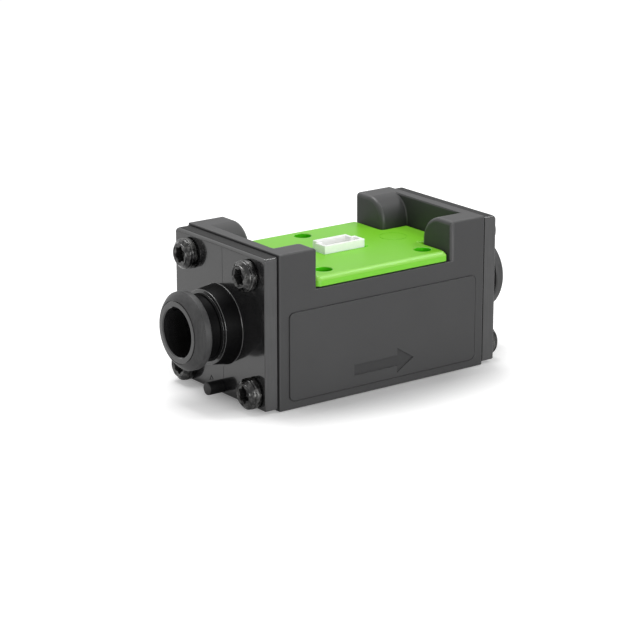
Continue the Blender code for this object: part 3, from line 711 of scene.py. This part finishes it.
def add_stage():
    """A pale floor that keeps the shadow, with painted shade near the sensor where its glow is weaker, and
    white all round.
    """
    outline = rectangle(-FLOOR_REACH, FLOOR_REACH, -FLOOR_REACH, FLOOR_REACH)
    floor = add_piece("floor", prism(outline, "Z", FLOOR_LOW, FLOOR_TOP))
    paint = Finish("floor_paint", Roughness=0.9, Specular_IOR_Level=0.0, Emission_Strength=1.0)
    paint.colour(paint.noise(60 * MM, 2.0), (0.86, 0.86, 0.86), (0.88, 0.88, 0.88))
    far = paint.add("ShaderNodeVectorMath", {"operation": "LENGTH"}, {0: paint.place()}).outputs["Value"]
    rise = paint.add("ShaderNodeMapRange", {"interpolation_type": "SMOOTHSTEP"},
                     {"Value": far, "From Min": GLOW_START, "From Max": GLOW_END,
                      "To Min": 0.0, "To Max": GLOW_FAR}).outputs["Result"]
    camera_ray = paint.add("ShaderNodeLightPath").outputs["Is Camera Ray"]
    glow = GLOW_NEAR * seen_directly(paint) + Reading(paint, rise) * camera_ray
    paint.feed(paint.shader.inputs["Emission Color"], paint.blend(glow, BLACK, WHITE))
    floor.data.materials.append(paint.material)

    world = bpy.data.worlds.new("studio")
    bpy.context.scene.world = world
    world.use_nodes = True
    sky = NodeTree(world.node_tree)
    backdrop = world.node_tree.nodes["Background"]
    backdrop.inputs["Color"].default_value = (*WHITE, 1.0)
    strength = AMBIENT + (1.0 - AMBIENT) * seen_directly(sky)
    sky.feed(backdrop.inputs["Strength"], strength)


def add_lamps():
    add_softbox("overhead", (0.06, 0.32, 0.94), 0.60, 0.32, 0.32, 2.2)
    add_softbox("overhead_right", (0.57, -0.26, 0.78), 0.45, 0.07, 0.07, 0.34)
    add_softbox("front_fill", (-0.04, -0.97, 0.14), 0.60, 0.50, 0.30, 2.10)


def fitting_screw_places():
    """The top pair of screws stands closer together than the bottom pair."""
    pairs = ((SCREW_TOP_SIDE, SCREW_HIGH), (SCREW_LOW_SIDE, SCREW_LOW))
    return [(side * y, z) for side in (-1, 1) for y, z in pairs]


def at_fitting_screws(profile, steps):
    """A profile turned along X at each screw of an end plate."""
    return [shifted(turned(profile, steps), (0, y, z)) for y, z in fitting_screw_places()]


def at_cover_screws(profile, steps):
    """A profile turned upright at each screw of the cover."""
    return [shifted(stand_up(turned(profile, steps)), (x, y, 0)) for x, y in COVER_SCREW_PLACES]


def body_edge_width(edge):
    """How far each sharp edge of the body is rounded."""
    points = [vert.co for vert in edge.verts]
    if not edge.is_convex:
        to_top = BODY_HEIGHT - max(p.z for p in points)
        at_ledge = all(p.z < LEDGE_HEIGHT + TINY for p in points)
        return 0.0 if at_ledge else CORNER_FILLET * min(1.0, to_top / FILLET_FADE)
    on_side = all(abs(abs(p.y) - BODY_SIDE) < TINY for p in points)
    at_opening = all(abs(abs(p.x) - OPENING_END) < TINY for p in points)
    above_ledge = any(p.z > LEDGE_HEIGHT + TINY for p in points)
    if all(abs(abs(p.x) - BODY_END) < TINY for p in points):
        return SEAM_EDGE
    if at_opening and above_ledge:
        if not on_side:
            return POST_EDGE
        if points[0].x < 0:
            return POST_SIDE_EDGE
        return FAR_POST_EDGE if points[0].y < 0 else FAR_REAR_EDGE
    if all(abs(p.z - LEDGE_HEIGHT) < TINY for p in points):
        return LEDGE_EDGE
    return OUTER_EDGE


def post_gap_profile():
    """The space between the posts. Its round edges run out through the top a little before they lie flat."""
    outer = POST_INNER + POST_ROUNDING
    level = BODY_HEIGHT - POST_ROUNDING + POST_RISE
    right = arc((outer, level), POST_ROUNDING, 180, 90, 24)
    left = arc((-outer, level), POST_ROUNDING, 90, 0, 24)
    over = BODY_HEIGHT + OVERCUT
    floor = [(-POST_INNER, LEDGE_HEIGHT), (POST_INNER, LEDGE_HEIGHT)]
    return floor + right + [(outer, over), (-outer, over)] + left


def panel_outline(growth):
    return rectangle(-PANEL_END - growth, PANEL_END + growth, PANEL_LOW - growth, PANEL_TOP + growth,
                     PANEL_CORNER + growth)


def side_panel(side):
    """The raised panel on one side, -1 for the front and 1 for the rear, with a round rim."""
    rim = arc((-PANEL_RIM, PANEL_RAISE - PANEL_RIM), PANEL_RIM, 0, 90, 6)
    rings = [(panel_outline(growth), side * (BODY_SIDE + height)) for growth, height in rim]
    return loft([(panel_outline(0.0), side * (BODY_SIDE - OVERCUT))] + rings, "Y")


def panel_pocket(side):
    """The pocket that leaves a fine groove round the foot of a panel, wider below and to the right."""
    outline = rectangle(-PANEL_END - PANEL_GROOVE / 3, PANEL_END + PANEL_GROOVE, PANEL_LOW - PANEL_GROOVE,
                        PANEL_TOP + PANEL_GROOVE / 3, PANEL_CORNER + PANEL_GROOVE / 3)
    return prism(outline, "Y", side * (BODY_SIDE - GROOVE_DEPTH), side * (BODY_SIDE + OVERCUT))


def arrow_cutter():
    """The flow arrow, with a rounded lip where its walls meet the panel."""
    lower = [(ARROW_TAIL, -ARROW_SHAFT), (ARROW_NECK, -ARROW_SHAFT), (ARROW_NECK, -ARROW_HEAD),
             (ARROW_TIP, 0.0)]
    upper = [(along, -up) for along, up in reversed(lower[:3])]
    outline = [(along, ARROW_HEIGHT + up) for along, up in lower + upper]
    face = -BODY_SIDE - PANEL_RAISE
    lip = arc((ARROW_LIP, ARROW_LIP), ARROW_LIP, 180, 266, 4)
    walls = [(0.0, ARROW_DEPTH)] + lip + [(ARROW_LIP, -OVERCUT)]
    return loft([(grown(outline, growth - ARROW_INSET), face + depth) for growth, depth in walls], "Y")


def make_body(finishes):
    """The moulded flow body, with its posts, panels, arrow, gas channel and pockets."""
    block = prism(rectangle(-BODY_SIDE, BODY_SIDE, 0.0, BODY_HEIGHT), "X", -BODY_END, BODY_END)
    body = add_piece("moulded_body", block, len(finishes))
    opening = rectangle(-OPENING_END, OPENING_END, LEDGE_HEIGHT, BODY_HEIGHT + OVERCUT)
    carve(body, prism(opening, "Y", -BODY_SIDE - OVERCUT, BODY_SIDE + OVERCUT))
    wall = BODY_END - END_WALL
    carve(body, prism(post_gap_profile(), "X", -wall, wall))
    # The rounded edges take the second finish, painted lighter as highlight
    soften_edges(body, body_edge_width, FAR_POST_EDGE, 5)

    carve(body, joined([panel_pocket(-1), panel_pocket(1)]))
    carve(body, joined([side_panel(-1), side_panel(1)]), "UNION")
    # The arrow's faces take the third finish, painted darker as shade
    carve(body, arrow_cutter(), "DIFFERENCE", 2)

    far = BODY_END + OVERCUT
    channel = [(-far, 0.0), (-far, SEAT_RADIUS), (-SEAT_END, SEAT_RADIUS), (-SEAT_END, STRAIGHTENER_RADIUS),
               (-STRAIGHTENER_END, STRAIGHTENER_RADIUS), (-STRAIGHTENER_END, CHANNEL_RADIUS),
               (SEAT_END, CHANNEL_RADIUS), (SEAT_END, SEAT_RADIUS), (far, SEAT_RADIUS), (far, 0.0)]
    carve(body, shifted(turned(channel, 64), (0, 0, AXIS_HEIGHT)))
    over = LEDGE_HEIGHT + OVERCUT
    for (end, side), low, high in ((BOARD_POCKET, BOARD_LOW - FIT_GAP, over),
                                   (PARTS_POCKET, PARTS_POCKET_LOW, BOARD_LOW)):
        carve(body, prism(rectangle(-end, end, -side, side, COVER_CORNER), "Z", low, high))
    slot = rectangle(*BLADE_SLOT, -BLADE_SLOT_SIDE, BLADE_SLOT_SIDE)
    carve(body, prism(slot, "Z", AXIS_HEIGHT, BLADE_SLOT_TOP))
    seat = BOSS_LOW - FIT_GAP
    boss = [(COVER_PILOT_LOW, 0.0), (COVER_PILOT_LOW, COVER_PILOT), (seat, COVER_PILOT),
            (seat, BOSS_RADIUS + FIT_GAP), (over, BOSS_RADIUS + FIT_GAP), (over, 0.0)]
    carve(body, joined(at_cover_screws(boss, 32)))
    holes = at_fitting_screws(rod(FITTING_HOLE, FITTING_PILOT_START, far), 24)
    holes += at_fitting_screws(rod(FITTING_HOLE, -far, -FITTING_PILOT_START), 24)
    carve(body, joined(holes))
    show(body, "body_plastic", finishes, "flow_body")


def port_corners():
    """The outer profile of the hose port in (along, radius, rounding), in millimetres."""
    back = [(1.4, 0.0, 0.0), (1.4, 7.95, 0.0), (2.79, 7.95, 0.0), (2.82, 7.745, 0.15), (6.3, 7.2, 0.15),
            (6.3, 6.55, 0.06), (6.8, 6.5, 0.1), (6.8, 6.1, 0.08), (8.85, 6.1, 0.25), (9.5, 7.42, 0.18),
            (9.7, 7.55, 0.1), (10.87, 7.55, 0.05), (10.92, 7.46, 0.02), (10.99, 7.46, 0.02)]
    nose = [(along, out, 0.0) for along, out in bow((11.04, 7.53), (12.38, 6.08), 0.10)]
    face = [(12.40, 6.02, 0.0), (12.20, 6.00, 0.0), (12.20, 5.89, 0.0), (12.44, 5.86, 0.0),
            (12.49, 5.80, 0.0), (12.5, 5.72, 0.0), (12.5, 0.0, 0.0)]
    return back + nose + face


def plate_edge_width(edge):
    """How far each edge of an end plate is rounded."""
    points = [vert.co for vert in edge.verts]
    if all(p.x < TINY for p in points):
        return PLATE_SEAM_EDGE
    if all(p.z > PLATE_TOP - TINY for p in points):
        return PLATE_CORNER if all(abs(p.y) > PLATE_SIDE - TINY for p in points) else PLATE_TOP_EDGE
    return PLATE_LOW_EDGE if all(p.z < PLATE_LOW + TINY for p in points) else PLATE_SIDE_EDGE


def port_finish_index(middle, direction):
    """The place in port_finishes of the finish for a face."""
    out = math.hypot(middle.y, middle.z - AXIS_HEIGHT)
    # The peg's end takes a lighter copy and its sides a darker one: painted light and painted shade
    if middle.x > PLATE_THICKNESS and math.hypot(middle.y, middle.z - PEG_HEIGHT) < PEG_RADIUS + TINY:
        return 3 if direction.x > 0.5 else 4
    if out > PORT_FOOT:
        # On the plate the face and edge roundings stay glossy, the top takes a darker copy as painted shade
        # and the sides a lighter copy as painted light
        if abs(direction.x) > 0.5 or 0.2 < direction.z < 0.93:
            return 0
        return 4 if direction.z > 0.5 else 1
    # The hose end takes a lighter copy: painted light
    if middle.x > HOSE_END_START and out > HOSE_END_INNER:
        return 3
    # The collar and neck walls take a darker copy: painted shade
    walls = any(low < middle.x < high for low, high in PAINTED_SHADE_SPANS)
    return 2 if walls and out > PAINTED_SHADE_INNER else 0


def moulding_marks():
    """Shallow marks in the plate's face: the mould's parting line, and a small triangle above the peg."""
    face = PLATE_THICKNESS - PARTING_DEPTH
    over = PLATE_THICKNESS + OVERCUT
    half = PARTING_WIDTH / 2
    marks = [prism(rectangle(PARTING_PLACE - half, PARTING_PLACE + half, low, high), "X", face, over)
             for low, high in PARTING_SPANS]
    triangle = add_piece("triangle", prism(TRIANGLE, "X", PLATE_THICKNESS - TRIANGLE_DEPTH, over))
    carve(triangle, prism(grown(TRIANGLE, -TRIANGLE_LINE), "X", face - MM, over + MM))
    bm = bmesh.new()
    bm.from_mesh(triangle.data)
    bpy.data.objects.remove(triangle, do_unlink=True)
    return marks + [bm]


def make_port(name, end, finishes, node):
    """One end plate with its hose port, locating peg and fine moulding marks. End is -1 for the inlet."""
    outline = rectangle(-PLATE_SIDE, PLATE_SIDE, PLATE_LOW, PLATE_TOP)
    plate = add_piece(name, prism(outline, "X", 0.0, PLATE_THICKNESS), len(finishes))
    soften_edges(plate, plate_edge_width, PLATE_CORNER, 4)

    axis = (0, 0, AXIS_HEIGHT)
    carve(plate, shifted(turned(softened(port_corners()), 144), axis), "UNION")
    root, tip, radius, edge = (length / MM for length in (
        PEG_ROOT, PLATE_THICKNESS + PEG_LENGTH, PEG_RADIUS, PEG_TIP_EDGE))
    peg = softened([(root, 0.0, 0.0), (root, radius, 0.0), (tip, radius, edge), (tip, 0.0, 0.0)])
    carve(plate, shifted(turned(peg, 48), (0, 0, PEG_HEIGHT)), "UNION")
    bore = [(-OVERCUT, 0.0), (-OVERCUT, PORT_BORE), (MOUTH_START, PORT_BORE), (MOUTH_END, MOUTH_RADIUS),
            (BORE_CUT_END, MOUTH_RADIUS), (BORE_CUT_END, 0.0)]
    inner, outer = SEAL_GROOVE
    groove = [(-OVERCUT, inner), (SEAL_GROOVE_DEPTH, inner), (SEAL_GROOVE_DEPTH, outer), (-OVERCUT, outer)]
    cuts = [shifted(turned(bore, 128), axis), shifted(hollow_ring(groove, 96), axis)]
    cuts += at_fitting_screws(rod(FITTING_HOLE, -OVERCUT, PLATE_THICKNESS + OVERCUT), 32)
    carve(plate, joined(cuts + moulding_marks()))
    sort_faces(plate, port_finish_index)

    turn = Matrix.Identity(4) if end > 0 else Matrix.Rotation(math.pi, 4, "Z")
    plate.data.transform(turn @ Matrix.Translation((PLATE_INNER, 0, 0)))
    show(plate, "port_plastic", finishes, node)


def screw_head(name, corners, recess, depth, shank, length, steps):
    """A screw along X with a six-lobe recess, its head's underside at the origin."""
    profile = [(-length, 0.0), (-length, 0.7 * shank), (-length + 0.3 * shank, shank), (0.0, shank)]
    profile += softened(corners, 5)
    face = profile[-1][0]
    edge = 0.05 * recess
    lobed = [(face, recess + edge), (face - edge, recess), (face - depth, 0.9 * recess),
             (face - depth - 0.3 * recess, 0.3 * recess)]
    lobes = [0.0] * len(profile) + [0.10, 0.11, 0.11, 0.05, 0.0]
    points = profile + lobed + [(face - depth - 0.38 * recess, 0.0)]
    return add_piece(name, turned(points, steps, lobes))


def setting_points(name, places):
    """A mesh of bare points, each with the direction that its copy faces."""
    mesh = bpy.data.meshes.new(name)
    mesh.from_pydata([place for place, facing in places], [], [])
    facing = mesh.attributes.new("facing", "FLOAT_VECTOR", "POINT")
    for index, (place, direction) in enumerate(places):
        facing.data[index].vector = direction
    return add_object(name, mesh)


def setting_tree():
    """Geometry nodes that set a copy of a part at each point, each turned a little about its own axis."""
    tree = bpy.data.node_groups.new("set_copies", "GeometryNodeTree")
    sockets = {}
    for name, kind in (("Points", "Geometry"), ("Part", "Object"), ("Turn", "Float"), ("Seed", "Int")):
        socket = tree.interface.new_socket(name=name, in_out="INPUT", socket_type="NodeSocket" + kind)
        sockets[name] = socket.identifier
    tree.interface.new_socket(name="Copies", in_out="OUTPUT", socket_type="NodeSocketGeometry")

    add = NodeTree(tree).add
    given = add("NodeGroupInput").outputs
    part = add("GeometryNodeObjectInfo", {"transform_space": "ORIGINAL"}, {"Object": given["Part"]})
    facing = add("GeometryNodeInputNamedAttribute", {"data_type": "FLOAT_VECTOR"}, {"Name": "facing"})
    aimed = add("FunctionNodeAlignRotationToVector", {"axis": "X"}, {"Vector": facing.outputs["Attribute"]})
    least = add("ShaderNodeMath", {"operation": "MULTIPLY"}, {0: given["Turn"], 1: -1.0})
    chance = add("FunctionNodeRandomValue", {"data_type": "FLOAT"},
                 {"Seed": given["Seed"], 2: least.outputs[0], 3: given["Turn"]})
    twist = add("FunctionNodeAxisAngleToRotation", None,
                {"Axis": (1.0, 0.0, 0.0), "Angle": chance.outputs[1]})
    turn = add("FunctionNodeRotateRotation", {"rotation_space": "LOCAL"},
               {"Rotation": aimed.outputs["Rotation"], "Rotate By": twist.outputs["Rotation"]})
    copies = add("GeometryNodeInstanceOnPoints", None,
                 {"Points": given["Points"], "Instance": part.outputs["Geometry"],
                  "Rotation": turn.outputs["Rotation"]})
    real = add("GeometryNodeRealizeInstances", None, {"Geometry": copies.outputs["Instances"]})
    add("NodeGroupOutput", None, {"Copies": real.outputs["Geometry"]})
    return tree, sockets


def set_copies(name, part, places, turn, seed, layout):
    """One plain mesh of all the copies of a part."""
    tree, sockets = layout
    piece = setting_points(name, places)
    setter = piece.modifiers.new("copies", "NODES")
    setter.node_group = tree
    setter[sockets["Part"]] = part
    setter[sockets["Turn"]] = turn
    setter[sockets["Seed"]] = seed
    settle(piece)
    bpy.data.objects.remove(part, do_unlink=True)
    return piece


def fitting_screw_finish_index(middle, direction):
    """1, the finish painted darker as shade, in the recess; 0 elsewhere."""
    out = min(math.hypot(middle.y - y, middle.z - z) for y, z in fitting_screw_places())
    return 1 if out < RECESS_RADIUS - RECESS_RIM and abs(middle.x) < SCREW_SEAT + RECESS_TOP else 0


def cover_screw_finish_index(middle, direction):
    """1, the finish painted darker as shade, in the recess; 0 elsewhere."""
    out = min(math.hypot(middle.x - x, middle.y - y) for x, y in COVER_SCREW_PLACES)
    in_reach = out < SMALL_RECESS_RADIUS - RECESS_RIM
    return 1 if in_reach and middle.z < COVER_SCREW_SEAT + SMALL_RECESS_TOP else 0


def make_fitting_screws(finishes, layout):
    """Pan heads with a six-lobe recess, four on each end plate."""
    corners = [(0.0, 1.25, 0.0), (0.0, 3.0, 0.06), (0.92, 3.0, 0.2), (1.04, 2.84, 0.05), (1.16, 2.84, 0.05),
               (1.30, 2.96, 0.12), (1.55, 2.90, 0.3), (2.03, 2.24, 0.10), (2.2, 2.17, 0.06),
               (2.2, 2.01, 0.06), (2.08, 1.94, 0.05), (2.08, 1.84, 0.0)]
    screw = screw_head("fitting_screw_part", corners, RECESS_RADIUS, RECESS_DEPTH, SHANK_RADIUS,
                       SHANK_LENGTH, 96)
    places = [((end * SCREW_SEAT, y, z), (end, 0, 0)) for end in (-1, 1) for y, z in fitting_screw_places()]
    nodes = [f"{end}_screw_{place}" for end in ("inlet", "outlet")
             for place in ("front_top", "front_bottom", "rear_top", "rear_bottom")]
    screws = set_copies("fitting_screws", screw, places, SCREW_TURN, 4, layout)
    sort_faces(screws, fitting_screw_finish_index)
    show(screws, "blackened_steel", finishes, *nodes)


def make_cover_screws(finishes, layout):
    """The smaller screws at the bottom of the cover's holes."""
    corners = [(0.0, 0.9, 0.0), (0.0, 1.55, 0.05), (0.5, 1.55, 0.12), (0.9, 1.2, 0.1), (1.0, 1.08, 0.03),
               (1.0, 0.82, 0.0)]
    screw = screw_head("cover_screw_part", corners, SMALL_RECESS_RADIUS, SMALL_RECESS_DEPTH,
                       SMALL_SHANK_RADIUS, SMALL_SHANK_LENGTH, 48)
    places = [((x, y, COVER_SCREW_SEAT), (0, 0, 1)) for x, y in COVER_SCREW_PLACES]
    nodes = ["cover_screw_front_left", "cover_screw_front_right", "cover_screw_rear"]
    screws = set_copies("cover_screws", screw, places, SCREW_TURN, 7, layout)
    sort_faces(screws, cover_screw_finish_index)
    show(screws, "blackened_steel", finishes, *nodes)


def cover_outline():
    """Plus shape: the panel between the side openings, with a tongue between each pair of posts."""
    end = OPENING_END - COVER_END_GAP
    tongue_end = BODY_END - END_WALL - FIT_GAP
    tongue_side = POST_INNER - FIT_GAP
    quarter = [(end, COVER_SIDE, COVER_CORNER), (end, tongue_side, TONGUE_FILLET),
               (tongue_end, tongue_side, COVER_CORNER)]
    corners = []
    for sign_x, sign_y, order in ((1, 1, -1), (-1, 1, 1), (-1, -1, -1), (1, -1, 1)):
        corners += [(sign_x * x, sign_y * y, radius) for x, y, radius in quarter[::order]]
    return rounded(corners)


def header_outline(inset):
    """The header seen from above: full length at the front, notched at both ends at the rear."""
    long_end, short_end = HEADER_LONG_END - inset, HEADER_SHORT_END - inset
    front, rear, notch = HEADER_FRONT + inset, HEADER_REAR - inset, HEADER_NOTCH - inset
    return [(-long_end, front), (long_end, front), (long_end, notch), (short_end, notch), (short_end, rear),
            (-short_end, rear), (-short_end, notch), (-long_end, notch)]


def cover_finish_index(middle, direction):
    """The place in cover_finishes of the finish for a face."""
    on_tongue = abs(middle.x) > OPENING_END - COVER_END_GAP and abs(middle.y) < POST_INNER
    # The top and the tongues' rims take the plain finish, without the rim's painted highlight
    if direction.z > 0.95 or (on_tongue and direction.z > 0.2):
        return 0
    out = min(math.hypot(middle.x - x, middle.y - y) for x, y in COVER_SCREW_PLACES)
    at_hole = out < COVER_HOLE + COVER_HOLE_RIM
    at_window = abs(middle.x) < SLOT_END + TINY and abs(middle.y) < WINDOW_SIDE
    # Walls of the holes and window take a brighter green, painted light for the light let through the thin
    # plastic
    if (at_hole or at_window) and abs(direction.z) < 0.5:
        return 2
    # Sides take a slightly paler copy as painted light; the rim and ring take the lighter copy as painted
    # highlight
    return 3 if direction.z < 0.2 else 1


def make_cover(finishes):
    """The green cover, with its rim, screw bosses, header window and ring mark."""
    slab = prism(cover_outline(), "Z", COVER_LOW, COVER_TOP)
    rim = [e for e in slab.edges if all(abs(v.co.z - COVER_TOP) < TINY for v in e.verts)]
    bmesh.ops.bevel(slab, geom=rim, offset=COVER_EDGE, segments=5, affect="EDGES", profile=0.32)
    cover = add_piece("green_cover", slab, len(finishes))
    bosses = at_cover_screws(rod(BOSS_RADIUS, BOSS_LOW, (COVER_LOW + COVER_TOP) / 2), 48)
    carve(cover, joined(bosses), "UNION")
    chamfer = COVER_HOLE_CHAMFER
    over = COVER_TOP + OVERCUT
    hole = [(BOSS_LOW - OVERCUT, 0.0), (BOSS_LOW - OVERCUT, COVER_PILOT), (BOSS_FLOOR, COVER_PILOT),
            (BOSS_FLOOR, COVER_HOLE - chamfer), (COVER_TOP - chamfer, COVER_HOLE - chamfer),
            (COVER_TOP + chamfer, COVER_HOLE + chamfer), (over, COVER_HOLE + chamfer), (over, 0.0)]
    cuts = at_cover_screws(hole, 64)
    window = header_outline(-FIT_GAP)
    end, front = window[1]
    window[1:2] = [(SLOT_END, front), (SLOT_END, SLOT_REAR), (end, SLOT_REAR)]
    cuts.append(prism(window, "Z", COVER_LOW - OVERCUT, over))
    bottom, inner = COVER_TOP - RING_DEPTH, RING_RADIUS - RING_LINE
    ring = [(bottom, inner), (bottom, RING_RADIUS), (over, RING_RADIUS + RING_FLARE),
            (over, inner - RING_FLARE)]
    cuts.append(shifted(stand_up(hollow_ring(ring, 96)), (*RING_PLACE, 0)))
    carve(cover, joined(cuts))
    sort_faces(cover, cover_finish_index)
    show(cover, "cover_plastic", finishes, "sensor_cover")


def pin_places():
    """Where the pins stand along their row."""
    return [PIN_PITCH * (index - (PIN_COUNT - 1) / 2) for index in range(PIN_COUNT)]


def make_housing(finish):
    """The header's white shroud, with a well round each pin in its floor."""
    housing = add_piece("plug_header", prism(header_outline(0.0), "Z", HEADER_LOW, HEADER_TOP), 2)
    carve(housing, prism(header_outline(HEADER_WALL), "Z", HEADER_FLOOR, HEADER_TOP + OVERCUT))
    soften_edges(housing, lambda edge: HEADER_EDGE if edge.is_convex else HEADER_EDGE / 2, HEADER_EDGE, 3)
    wells = []
    for x in pin_places():
        well = rectangle(x - WELL_SIDE, x + WELL_SIDE, PIN_PLACE - WELL_SIDE, PIN_PLACE + WELL_SIDE)
        wells.append(prism(well, "Z", HEADER_LOW - OVERCUT, HEADER_FLOOR + FIT_GAP))
    carve(housing, joined(wells))
    show(housing, "header_nylon", [finish, finish], "connector_housing")


def make_pins(finish, layout):
    """The header's square pins, each with a tapered tip."""
    square = rectangle(-PIN_SIDE, PIN_SIDE, -PIN_SIDE, PIN_SIDE, PIN_EDGE)
    point = rectangle(-PIN_TIP_SIDE, PIN_TIP_SIDE, -PIN_TIP_SIDE, PIN_TIP_SIDE, PIN_TIP_EDGE)
    length = PIN_HIGH - PIN_LOW
    shoulder = length - PIN_TIP_LENGTH
    pin = prism(square, "X", 0.0, shoulder)
    bmesh.ops.bevel(pin, geom=[e for e in pin.edges if all(abs(v.co.x) < TINY for v in e.verts)],
                    offset=PIN_FOOT_EDGE, segments=2, affect="EDGES", profile=0.5)
    part = add_piece("pin_part", pin)
    carve(part, loft([(square, shoulder - PIN_TIP_LAP), (point, length)], "X"), "UNION")
    places = [((x, PIN_PLACE, PIN_LOW), (0, 0, 1)) for x in pin_places()]
    nodes = [f"connector_pin_{index + 1}" for index in range(PIN_COUNT)]
    pins = set_copies("header_pins", part, places, 0.0, 0, layout)
    show(pins, "pin_tin", [finish, finish], *nodes)


def body_finishes():
    """Faces; rounded edges, painted lighter as highlight; arrow, painted darker as shade."""
    return [
        moulded("satin_body_plastic", (0.039, 0.039, 0.040), (0.053, 0.053, 0.054), 0.54, 0.10, 0.004, 0.42),
        moulded("satin_body_edges", (0.046, 0.046, 0.047), (0.060, 0.060, 0.061), 0.42, 0.10, 0.002, 0.5),
        moulded("arrow_recess_plastic", (0.028, 0.028, 0.029), (0.038, 0.038, 0.039), 0.60, 0.10, 0.004, 0.4),
    ]


def port_finishes():
    """Glossy faces; the plate's sides, a lighter copy as painted light; dull walls, a darker copy as painted
    shade; hose end and peg's tip, a lighter copy as painted light; the plate's top and peg, a darker copy as
    painted shade.
    """
    return [
        glossy_port_plastic(),
        drawn_plastic("plate_side_plastic", (0.034, 0.034, 0.035), (0.092, 0.092, 0.093), 0.5, 0.5),
        drawn_plastic("dull_port_plastic", (0.002, 0.002, 0.0022), (0.005, 0.005, 0.0053), 0.45, 0.06),
        drawn_plastic("hose_end_plastic", (0.018, 0.018, 0.0186), (0.100, 0.100, 0.101), 0.40, 0.35),
        drawn_plastic("plate_top_plastic", (0.008, 0.008, 0.0082), (0.020, 0.020, 0.0203), 0.45, 0.1),
    ]


def screw_finishes():
    """Head, recess painted darker as shade."""
    return [
        blackened_steel(),
        moulded("screw_recess_black", (0.006, 0.006, 0.006), (0.030, 0.030, 0.030), 0.30, 0.25, 0.050),
    ]


def cover_finishes():
    """Top and the tongues' rims; the rim and ring, a lighter copy as painted highlight; walls of the holes
    and window, a brighter green as painted light let through the plastic; sides, a slightly paler copy as
    painted light.
    """
    return [
        moulded("green_cover_plastic", (0.20, 0.62, 0.020), (0.23, 0.68, 0.029), 0.34, 0.12, 0.003, 0.15),
        moulded("green_cover_edges", (0.27, 0.68, 0.075), (0.31, 0.73, 0.095), 0.32, 0.12, 0.002, 0.4),
        moulded("green_cover_walls", (0.10, 0.84, 0.004), (0.13, 0.90, 0.008), 0.40, 0.12, 0.002, 0.15),
        moulded("green_cover_sides", (0.20, 0.65, 0.035), (0.23, 0.70, 0.048), 0.34, 0.12, 0.002, 0.3),
    ]


def milky_nylon():
    """Its faint glow stands for the light that thin milky nylon lets through."""
    return moulded("white_header_nylon", (0.95, 0.95, 0.94), (0.98, 0.98, 0.97), 0.40, 0.15, 0.003,
                   Subsurface_Weight=0.5, Subsurface_Radius=(1.0, 1.0, 1.0), Subsurface_Scale=0.0012,
                   Emission_Color=(1.0, 1.0, 1.0, 1.0), Emission_Strength=0.09)


def coat(names, finish):
    """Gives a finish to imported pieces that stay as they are."""
    for name in names:
        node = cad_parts[name]
        if not node.material_slots:
            node.data.materials.append(finish)
        for slot in node.material_slots:
            slot.link = "OBJECT"
            slot.material = finish


def coat_inner_pieces():
    """Seals, screens, flow straightener, board and sensing parts."""
    coat(["inlet_o_ring", "outlet_o_ring", "carrier_gasket"],
         moulded("seal_rubber", (0.012, 0.012, 0.012), (0.025, 0.025, 0.025), 0.75, 0.08, 0.006))
    coat(["inlet_screen", "outlet_screen"],
         drawn_metal("screen_steel_etched", (0.38, 0.38, 0.37), (0.52, 0.52, 0.50), 0.36, 0.05,
                     0.004, (1.0, 1.0, 0.2)))
    coat(["flow_straightener"],
         moulded("straightener_black", (0.03, 0.03, 0.03), (0.05, 0.05, 0.05), 0.5, 0.1, 0.003))
    coat(["circuit_board"], board_laminate())
    coat(["sensor_carrier"],
         moulded("blade_ceramic", (0.72, 0.71, 0.68), (0.82, 0.81, 0.78), 0.5, 0.05, 0.004))
    coat(["sensor_chip"], polished_silicon())
    coat(["signal_processor", "voltage_regulator"],
         moulded("chip_epoxy_black", (0.015, 0.015, 0.015), (0.03, 0.03, 0.03), 0.55, 0.05, 0.006))
    coat(["smoothing_capacitor"],
         drawn_metal("capacitor_can_metal", (0.55, 0.55, 0.55), (0.68, 0.68, 0.68), 0.32, 0.06,
                     0.003, (1.0, 0.2, 1.0)))


def build():
    add_camera()
    add_stage()
    add_lamps()
    layout = setting_tree()

    make_body(body_finishes())
    finishes = port_finishes()
    make_port("inlet_port_moulding", -1, finishes, "inlet_fitting")
    make_port("outlet_port_moulding", 1, finishes, "outlet_fitting")
    make_cover(cover_finishes())
    make_housing(milky_nylon())
    make_pins(drawn_metal("tinned_pins", (0.62, 0.61, 0.58), (0.78, 0.77, 0.74), 0.30, 0.06, 0.003,
                          (1.0, 1.0, 0.2)), layout)
    finishes = screw_finishes()
    make_fitting_screws(finishes, layout)
    make_cover_screws(finishes, layout)
    coat_inner_pieces()


bpy.context.scene.view_settings.view_transform = "Standard"
build()
